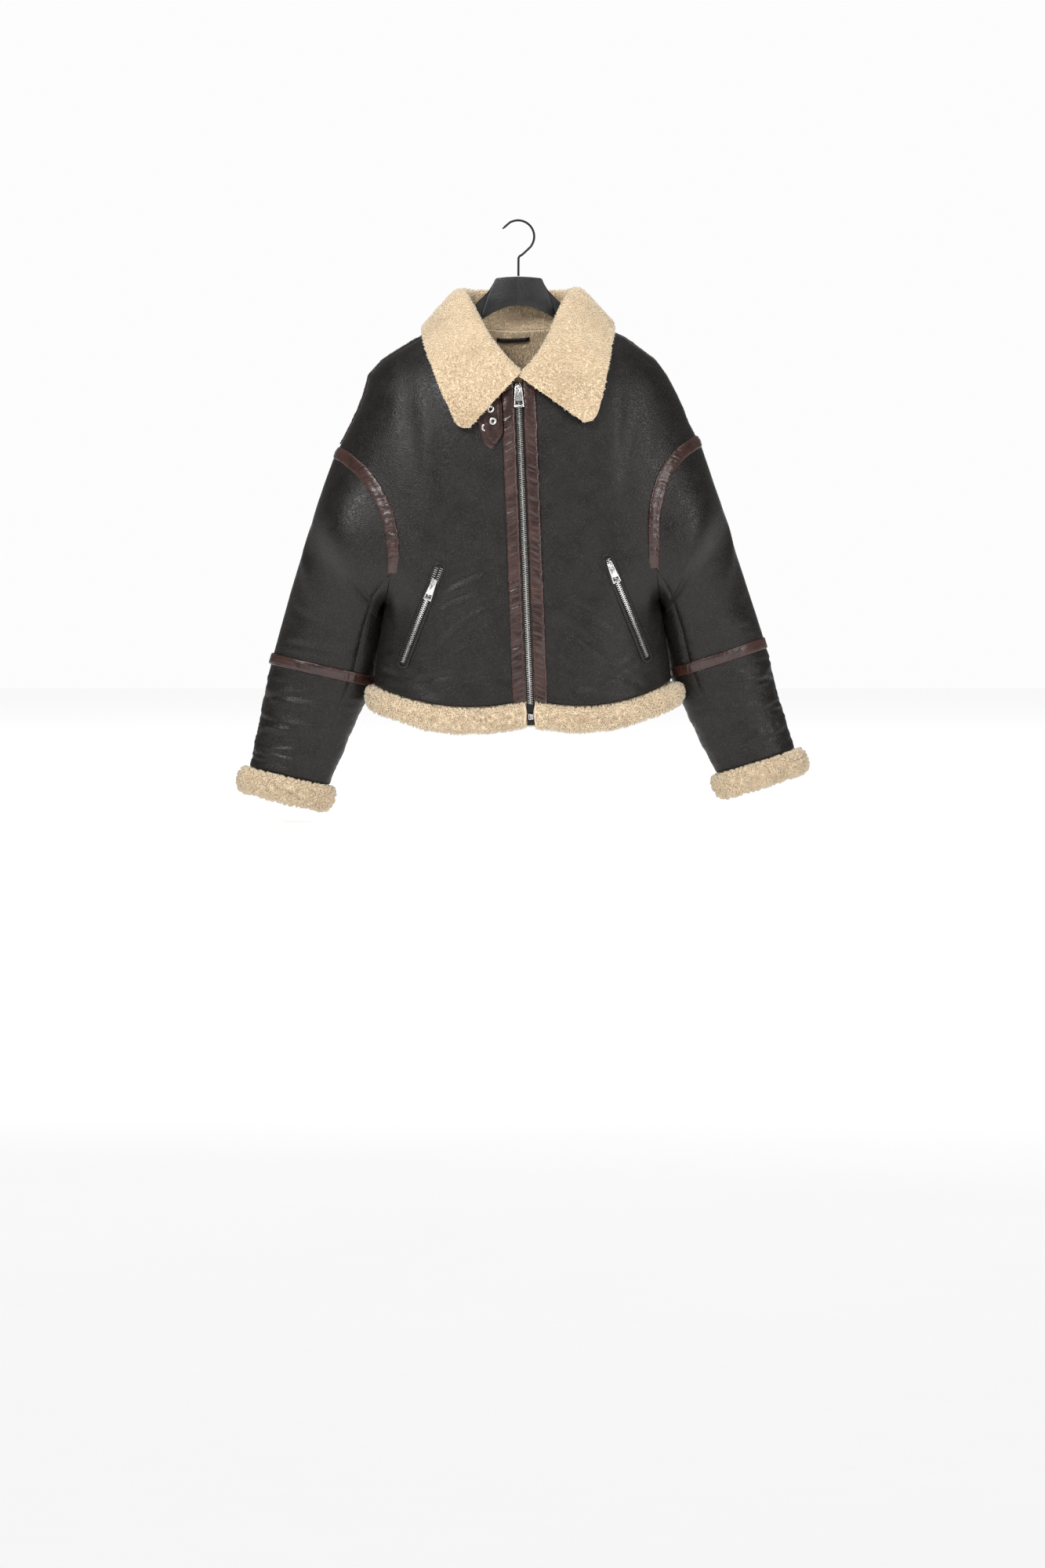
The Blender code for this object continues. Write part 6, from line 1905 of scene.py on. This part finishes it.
def add_hook():
    """The wire hook: tip, round the top, back under, and down the stem."""
    cx, cz = HOOK_CENTRE
    path = [(-24.0, -11.4)]
    for degrees in range(122, -47, -12):
        angle = math.radians(degrees)
        path.append((cx + HOOK_RADIUS * math.cos(angle), cz + HOOK_RADIUS * math.sin(angle)))
    path += [(6.5, -50.2), (2.6, -52.6), (0.9, -55.0), (0.5, -58.5), (0.4, -83.2)]
    flat = smooth(path, np.linspace(0, len(path) - 1, 150))
    points = np.stack([flat[:, 0], np.zeros(len(flat)), flat[:, 1]], axis=1)
    along = unit(np.gradient(points, axis=0))
    side = np.stack([-along[:, 2], np.zeros(len(flat)), along[:, 0]], axis=1)
    girth = np.full(len(flat), HOOK_WIRE)
    girth[:4] = HOOK_WIRE * np.array([0.35, 0.72, 0.92, 1.0])
    angles = (2 * math.pi * np.arange(HOOK_STEPS) / HOOK_STEPS)[None, :, None]
    circle = np.cos(angles) * side[:, None] + np.sin(angles) * np.array([0.0, 1.0, 0.0])
    rings = points[:, None] + girth[:, None, None] * circle
    ids = np.arange(rings.shape[0] * HOOK_STEPS).reshape(-1, HOOK_STEPS)
    tube = grid_quads(np.concatenate([ids, ids[:, :1]], axis=1))
    fans = [(ids[0, 0], ids[0, k + 1], ids[0, k]) for k in range(1, HOOK_STEPS - 1)]
    fans += [(ids[-1, 0], ids[-1, k], ids[-1, k + 1]) for k in range(1, HOOK_STEPS - 1)]
    hook = add_mesh("hanger_wire_hook", rings.reshape(-1, 3), [(0, tube), (0, fans)], [BLACK_METAL])
    hook.data.set_sharp_from_angle(angle=STRIP_SHARP)
    made["hanger_hook"] = hook


# Materials


NOISE_ROUGHNESS = 0.55


class Nodes:
    """Adds and links a material's nodes."""

    def __init__(self, name):
        self.material = bpy.data.materials.new(name)
        self.material.use_nodes = True
        self.tree = self.material.node_tree
        self.shader = self.tree.nodes["Principled BSDF"]
        self.place = self.add("ShaderNodeTexCoord").outputs["Object"]

    def add(self, kind, **values):
        node = self.tree.nodes.new(kind)
        for key, value in values.items():
            setattr(node, key, value)
        return node

    def link(self, start, end):
        self.tree.links.new(start, end)

    def noise(self, scale, detail):
        node = self.add("ShaderNodeTexNoise")
        node.inputs["Scale"].default_value = scale
        node.inputs["Detail"].default_value = detail
        node.inputs["Roughness"].default_value = NOISE_ROUGHNESS
        self.link(self.place, node.inputs["Vector"])
        return node.outputs["Fac"]

    def cells(self, scale):
        node = self.add("ShaderNodeTexVoronoi")
        node.inputs["Scale"].default_value = scale
        self.link(self.place, node.inputs["Vector"])
        return node.outputs["Distance"]

    def span(self, value, low, high, to_low=0.0, to_high=1.0):
        node = self.add("ShaderNodeMapRange")
        node.inputs["From Min"].default_value = low
        node.inputs["From Max"].default_value = high
        node.inputs["To Min"].default_value = to_low
        node.inputs["To Max"].default_value = to_high
        self.link(value, node.inputs["Value"])
        return node.outputs["Result"]

    def blend(self, share, first, second):
        node = self.add("ShaderNodeMix", data_type="RGBA")
        self.link(share, node.inputs["Factor"])
        for name, value in (("A", first), ("B", second)):
            socket = [s for s in node.inputs if s.name == name and s.type == "RGBA"][0]
            if isinstance(value, tuple):
                socket.default_value = (*value, 1.0)
            else:
                self.link(value, socket)
        return [s for s in node.outputs if s.type == "RGBA"][0]

    def bump(self, height, strength, distance, before=None):
        node = self.add("ShaderNodeBump")
        node.inputs["Strength"].default_value = strength
        node.inputs["Distance"].default_value = distance
        self.link(height, node.inputs["Height"])
        if before is not None:
            self.link(before, node.inputs["Normal"])
        return node.outputs["Normal"]

    def attribute(self, name):
        return self.add("ShaderNodeAttribute", attribute_name=name).outputs["Fac"]


def leather_material(name, dark, light, rough, grain, grain_depth, painted_glint_amount, gloss):
    """Grained leather: mottled colour and roughness, fine light flecks painted into the colour as the
    grain's glints, and a cell grain as bump.
    """
    nodes = Nodes(name)
    mottle = nodes.noise(38.0, 4.0)
    fine = nodes.noise(grain * 1.7, 2.0)
    cells = nodes.cells(grain)
    tops = nodes.span(cells, 0.15, 0.65, 1.0, 0.0)
    base = nodes.blend(nodes.span(mottle, 0.35, 0.65), dark, light)
    # Painted highlights: fine light flecks in the colour stand for the glints of the grain
    painted_glints = nodes.span(fine, 0.55, 0.63, 0.0, painted_glint_amount)
    colour = nodes.blend(painted_glints, base, tuple(min(1.0, c * 2.5 + 0.016) for c in light))
    nodes.link(colour, nodes.shader.inputs["Base Color"])
    nodes.link(nodes.span(mottle, 0.3, 0.7, rough - 0.06, rough + 0.08), nodes.shader.inputs["Roughness"])
    nodes.shader.inputs["Specular IOR Level"].default_value = gloss
    small = nodes.bump(tops, 0.55, grain_depth)
    wide = nodes.bump(nodes.noise(grain * 0.28, 3.0), 0.35, grain_depth * 2.5, small)
    nodes.link(wide, nodes.shader.inputs["Normal"])
    return nodes.material


def wool_material(name, root, tip, fine_scale):
    nodes = Nodes(name)
    # Blends root to tip colour; the darker root is painted shade deep in the pile
    tone_and_depth_shade = nodes.attribute("tone_and_depth_shade")
    patch = nodes.noise(22.0, 3.0)
    base = nodes.blend(tone_and_depth_shade, root, tip)
    shade = nodes.span(patch, 0.45, 0.75, 0.0, 0.35)
    colour = nodes.blend(shade, base, tuple(c * 0.82 for c in root))
    nodes.link(colour, nodes.shader.inputs["Base Color"])
    nodes.shader.inputs["Roughness"].default_value = 0.92
    nodes.shader.inputs["Sheen Weight"].default_value = 0.35
    nodes.shader.inputs["Sheen Roughness"].default_value = 0.5
    nodes.link(nodes.bump(nodes.noise(fine_scale, 3.0), 0.5, 0.0008), nodes.shader.inputs["Normal"])
    return nodes.material


def metal_material(name, colour, rough, wear):
    nodes = Nodes(name)
    scuffs = nodes.noise(420.0, 4.0)
    nodes.shader.inputs["Metallic"].default_value = 1.0
    tarnish = nodes.span(nodes.noise(90.0, 3.0), 0.45, 0.75, 0.0, wear)
    worn = nodes.blend(tarnish, colour, tuple(c * 0.55 for c in colour))
    nodes.link(worn, nodes.shader.inputs["Base Color"])
    nodes.link(nodes.span(scuffs, 0.35, 0.7, rough, rough + 0.16), nodes.shader.inputs["Roughness"])
    nodes.link(nodes.bump(scuffs, 0.12, 0.00008), nodes.shader.inputs["Normal"])
    return nodes.material


def plain_material(name, dark, light, rough, scale, depth):
    nodes = Nodes(name)
    grain = nodes.noise(scale, 4.0)
    nodes.link(nodes.blend(nodes.span(grain, 0.35, 0.65), dark, light), nodes.shader.inputs["Base Color"])
    nodes.link(nodes.span(nodes.noise(scale * 0.1, 2.0), 0.3, 0.7, rough - 0.05, rough + 0.08),
               nodes.shader.inputs["Roughness"])
    nodes.link(nodes.bump(grain, 0.3, depth), nodes.shader.inputs["Normal"])
    return nodes.material


def woven_material(name, dark, light, pitch):
    """A narrow woven tape: a fine check of warp and weft."""
    nodes = Nodes(name)
    waves = []
    for direction in ("X", "Z"):
        wave = nodes.add("ShaderNodeTexWave", bands_direction=direction)
        wave.inputs["Scale"].default_value = 1.0 / pitch / 3.2
        nodes.link(nodes.place, wave.inputs["Vector"])
        waves.append(wave.outputs["Fac"])
    both = nodes.add("ShaderNodeMath", operation="MULTIPLY")
    nodes.link(waves[0], both.inputs[0])
    nodes.link(waves[1], both.inputs[1])
    nodes.link(nodes.blend(both.outputs[0], dark, light), nodes.shader.inputs["Base Color"])
    nodes.shader.inputs["Roughness"].default_value = 0.85
    nodes.link(nodes.bump(both.outputs[0], 0.5, 0.0002), nodes.shader.inputs["Normal"])
    return nodes.material


# Both leathers carry light flecks painted in as the grain's glints; the brown has few
LEATHER = leather_material("black_leather", (0.0042, 0.0033, 0.0027), (0.0078, 0.0063, 0.0054), rough=0.36,
                           grain=520.0, grain_depth=0.00036, painted_glint_amount=0.9, gloss=0.30)
BROWN = leather_material("brown_leather", (0.020, 0.0078, 0.0060), (0.044, 0.0180, 0.0138), rough=0.25,
                         grain=900.0, grain_depth=0.00012, painted_glint_amount=0.10, gloss=0.55)
# The wool's darker root colour is painted shade deep in the pile
WOOL = wool_material("wool", (0.68, 0.51, 0.315), (0.95, 0.82, 0.62), 900.0)
# The lining is a darker copy of the wool: painted shade for the jacket's inside
SHADED_LINING = wool_material("wool_lining_painted_shade", (0.48, 0.345, 0.195), (0.74, 0.585, 0.38), 600.0)
NICKEL = metal_material("nickel", (0.70, 0.69, 0.67), 0.18, 0.5)
BLACK_METAL = metal_material("black_metal", (0.030, 0.030, 0.032), 0.32, 0.3)
PLASTIC = plain_material("hanger_plastic", (0.0045, 0.0045, 0.0048), (0.0085, 0.0085, 0.0090), 0.40,
                         2600.0, 0.00004)
TAPE = woven_material("zip_tape", (0.008, 0.008, 0.008), (0.022, 0.021, 0.020), 0.0009)
THREAD = plain_material("reddish_thread", (0.055, 0.014, 0.009), (0.13, 0.038, 0.024), 0.55, 3000.0, 0.00008)
BLACK_THREAD = plain_material("black_thread", (0.010, 0.009, 0.008), (0.024, 0.021, 0.019), 0.5,
                              3000.0, 0.00008)
FLOOR = plain_material("floor", (0.90, 0.90, 0.90), (0.92, 0.92, 0.92), 0.85, 30.0, 0.0)
# The floor glows a little, so that it stays as white as the backdrop
FLOOR_GLOW = 0.66
FLOOR_SHADER = FLOOR.node_tree.nodes["Principled BSDF"]
FLOOR_SHADER.inputs["Emission Color"].default_value = (1.0, 1.0, 1.0, 1.0)
FLOOR_SHADER.inputs["Emission Strength"].default_value = FLOOR_GLOW


# The scene round the jacket

PHOTO_WIDTH = 1333.0
PHOTO_HEIGHT = 2000.0
PIXEL = 1.2
LENS_DISTANCE = 9.0
# The origin's column and row in the photograph, the row the camera is level with, and the
# share by which its picture is larger
ORIGIN_COLUMN = 661.0
ORIGIN_ROW = 284.0
LEVEL_ROW = 656.0
LENS_TRIM = 1.004
FLOOR_SIZE = 14.0
FLOOR_BELOW = 0.02


def add_stage():
    """A white floor just below the jacket."""
    low = CAD_BOX[0]
    bpy.ops.mesh.primitive_plane_add(size=FLOOR_SIZE, location=(0.0, 0.0, low[2] - FLOOR_BELOW))
    floor = bpy.context.object
    floor.name = "floor"
    floor.data.materials.append(FLOOR)


def add_light(name, place, target, size, power):
    lamp = bpy.data.lights.new(name, "AREA")
    lamp.shape = "RECTANGLE"
    lamp.size, lamp.size_y = size
    lamp.energy = power
    holder = bpy.data.objects.new(name, lamp)
    holder.location = place
    holder.rotation_euler = (Vector(target) - Vector(place)).to_track_quat("-Z", "Y").to_euler()
    bpy.context.scene.collection.objects.link(holder)


# Lamps: name, place, width and height in metres, power in watts
LAMPS = (
    ("key", (-1.3, -2.8, 1.3), (0.9, 1.1), 66),
    ("fill", (1.9, -2.7, 0.5), (0.7, 1.6), 34),
    ("top", (0.0, -0.2, 2.4), (2.4, 1.6), 34),
)
LAMP_TARGET = (0.0, 0.0, -0.45)
# Strength of the backdrop and of the room, and the angles off straight back, in degrees,
# between which the one passes into the other
BACKDROP = 0.98
ROOM = 0.26
BACKDROP_ENDS = 24
BACKDROP_FULL = 13


def add_lights():
    """Soft lamps in a dim room, with a white backdrop straight behind the jacket."""
    for name, place, size, power in LAMPS:
        add_light(name, place, LAMP_TARGET, size, power)
    world = bpy.data.worlds.new("studio")
    bpy.context.scene.world = world
    world.use_nodes = True
    nodes = world.node_tree.nodes
    background = nodes["Background"]
    background.inputs["Color"].default_value = (1.0, 1.0, 1.0, 1.0)
    place = nodes.new("ShaderNodeTexCoord")
    split = nodes.new("ShaderNodeSeparateXYZ")
    span = nodes.new("ShaderNodeMapRange")
    span.interpolation_type = "SMOOTHSTEP"
    span.inputs["From Min"].default_value = math.cos(math.radians(BACKDROP_ENDS))
    span.inputs["From Max"].default_value = math.cos(math.radians(BACKDROP_FULL))
    span.inputs["To Min"].default_value = ROOM
    span.inputs["To Max"].default_value = BACKDROP
    world.node_tree.links.new(place.outputs["Generated"], split.inputs[0])
    world.node_tree.links.new(split.outputs["Y"], span.inputs["Value"])
    world.node_tree.links.new(span.outputs["Result"], background.inputs["Strength"])
    bpy.context.scene.view_settings.view_transform = "Standard"


def add_camera():
    """Level with the jacket's middle; the frame is 1333 by 2000 photo pixels of 1.2 mm."""
    camera = bpy.data.cameras.new("camera")
    holder = bpy.data.objects.new("camera", camera)
    bpy.context.scene.collection.objects.link(holder)
    bpy.context.scene.camera = holder
    centre_z = -(LEVEL_ROW - ORIGIN_ROW) * PIXEL * MM
    centre_x = (PHOTO_WIDTH / 2 - ORIGIN_COLUMN) * PIXEL * MM
    holder.location = (centre_x, -LENS_DISTANCE, centre_z)
    holder.rotation_euler = (math.pi / 2, 0.0, 0.0)
    camera.sensor_fit = "VERTICAL"
    camera.sensor_height = 24.0
    camera.lens = LENS_TRIM * camera.sensor_height * LENS_DISTANCE / (PHOTO_HEIGHT * PIXEL * MM)
    camera.shift_y = -(PHOTO_HEIGHT / 2 - LEVEL_ROW) / PHOTO_HEIGHT


# The scene put together, and the pieces' bodies

# The body that each pull tab turns with
TAB_BODIES = {"main_tab": "main_tab_body", "pocket_tab_right": "pocket_tab_right_body",
              "pocket_tab_left": "pocket_tab_left_body"}


def main():
    add_stage()
    add_lights()
    add_camera()
    body = frame["nodes"]["hanger_body"].data
    body.materials.clear()
    body.materials.append(PLASTIC)
    grids = {(side, face): body_half(side, face) for side in SIDES for face in (-1, 1)}
    front = Panel([grids["right", -1], grids["left", -1]], -1)
    back = Panel([grids["right", 1], grids["left", 1]], 1)
    add_body()
    add_sleeves()
    add_armhole_tapes()
    add_elbow_tapes()
    add_shoulder_tapes()
    add_plackets()
    add_hem_wool()
    add_cuff_wool()
    add_collar(grids)
    add_main_zip(front)
    for side in SIDES:
        add_pocket(side, front)
    add_strap(front)
    add_loop(back)
    add_hanger()
    add_hook()
    lining = add_neck_lining(back)
    for node, piece in made.items():
        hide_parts(node)
        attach(piece, "jacket")
    for node, piece in tabs.items():
        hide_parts(node)
        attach(piece, TAB_BODIES[node])
    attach(lining, "jacket")
    state_cloth()


def state_cloth():
    """Gathers each side's tapes, welts and sleeve grids; nothing more is done with them."""
    for side in SIDES:
        extras = [made[f"placket_{side}"], made[f"pocket_welt_{side}"]]
        if side == "right":
            extras += [made["throat_strap"], made["throat_strap_under"]]
        for part, foot, rows in (("upper", ELBOW, UPPER_ROWS), ("lower", CUFF, LOWER_ROWS)):
            top = 0.0 if part == "upper" else ELBOW
            places = np.linspace(top, foot, rows + 1)
            outer = sleeve_half(side, places, np.linspace(-UNDER_TURN, UNDER_TURN, OUTER_STEPS + 1))[0]
            under = sleeve_half(side, places, np.linspace(UNDER_TURN, 2 - UNDER_TURN, UNDER_STEPS + 1))[0]


main()
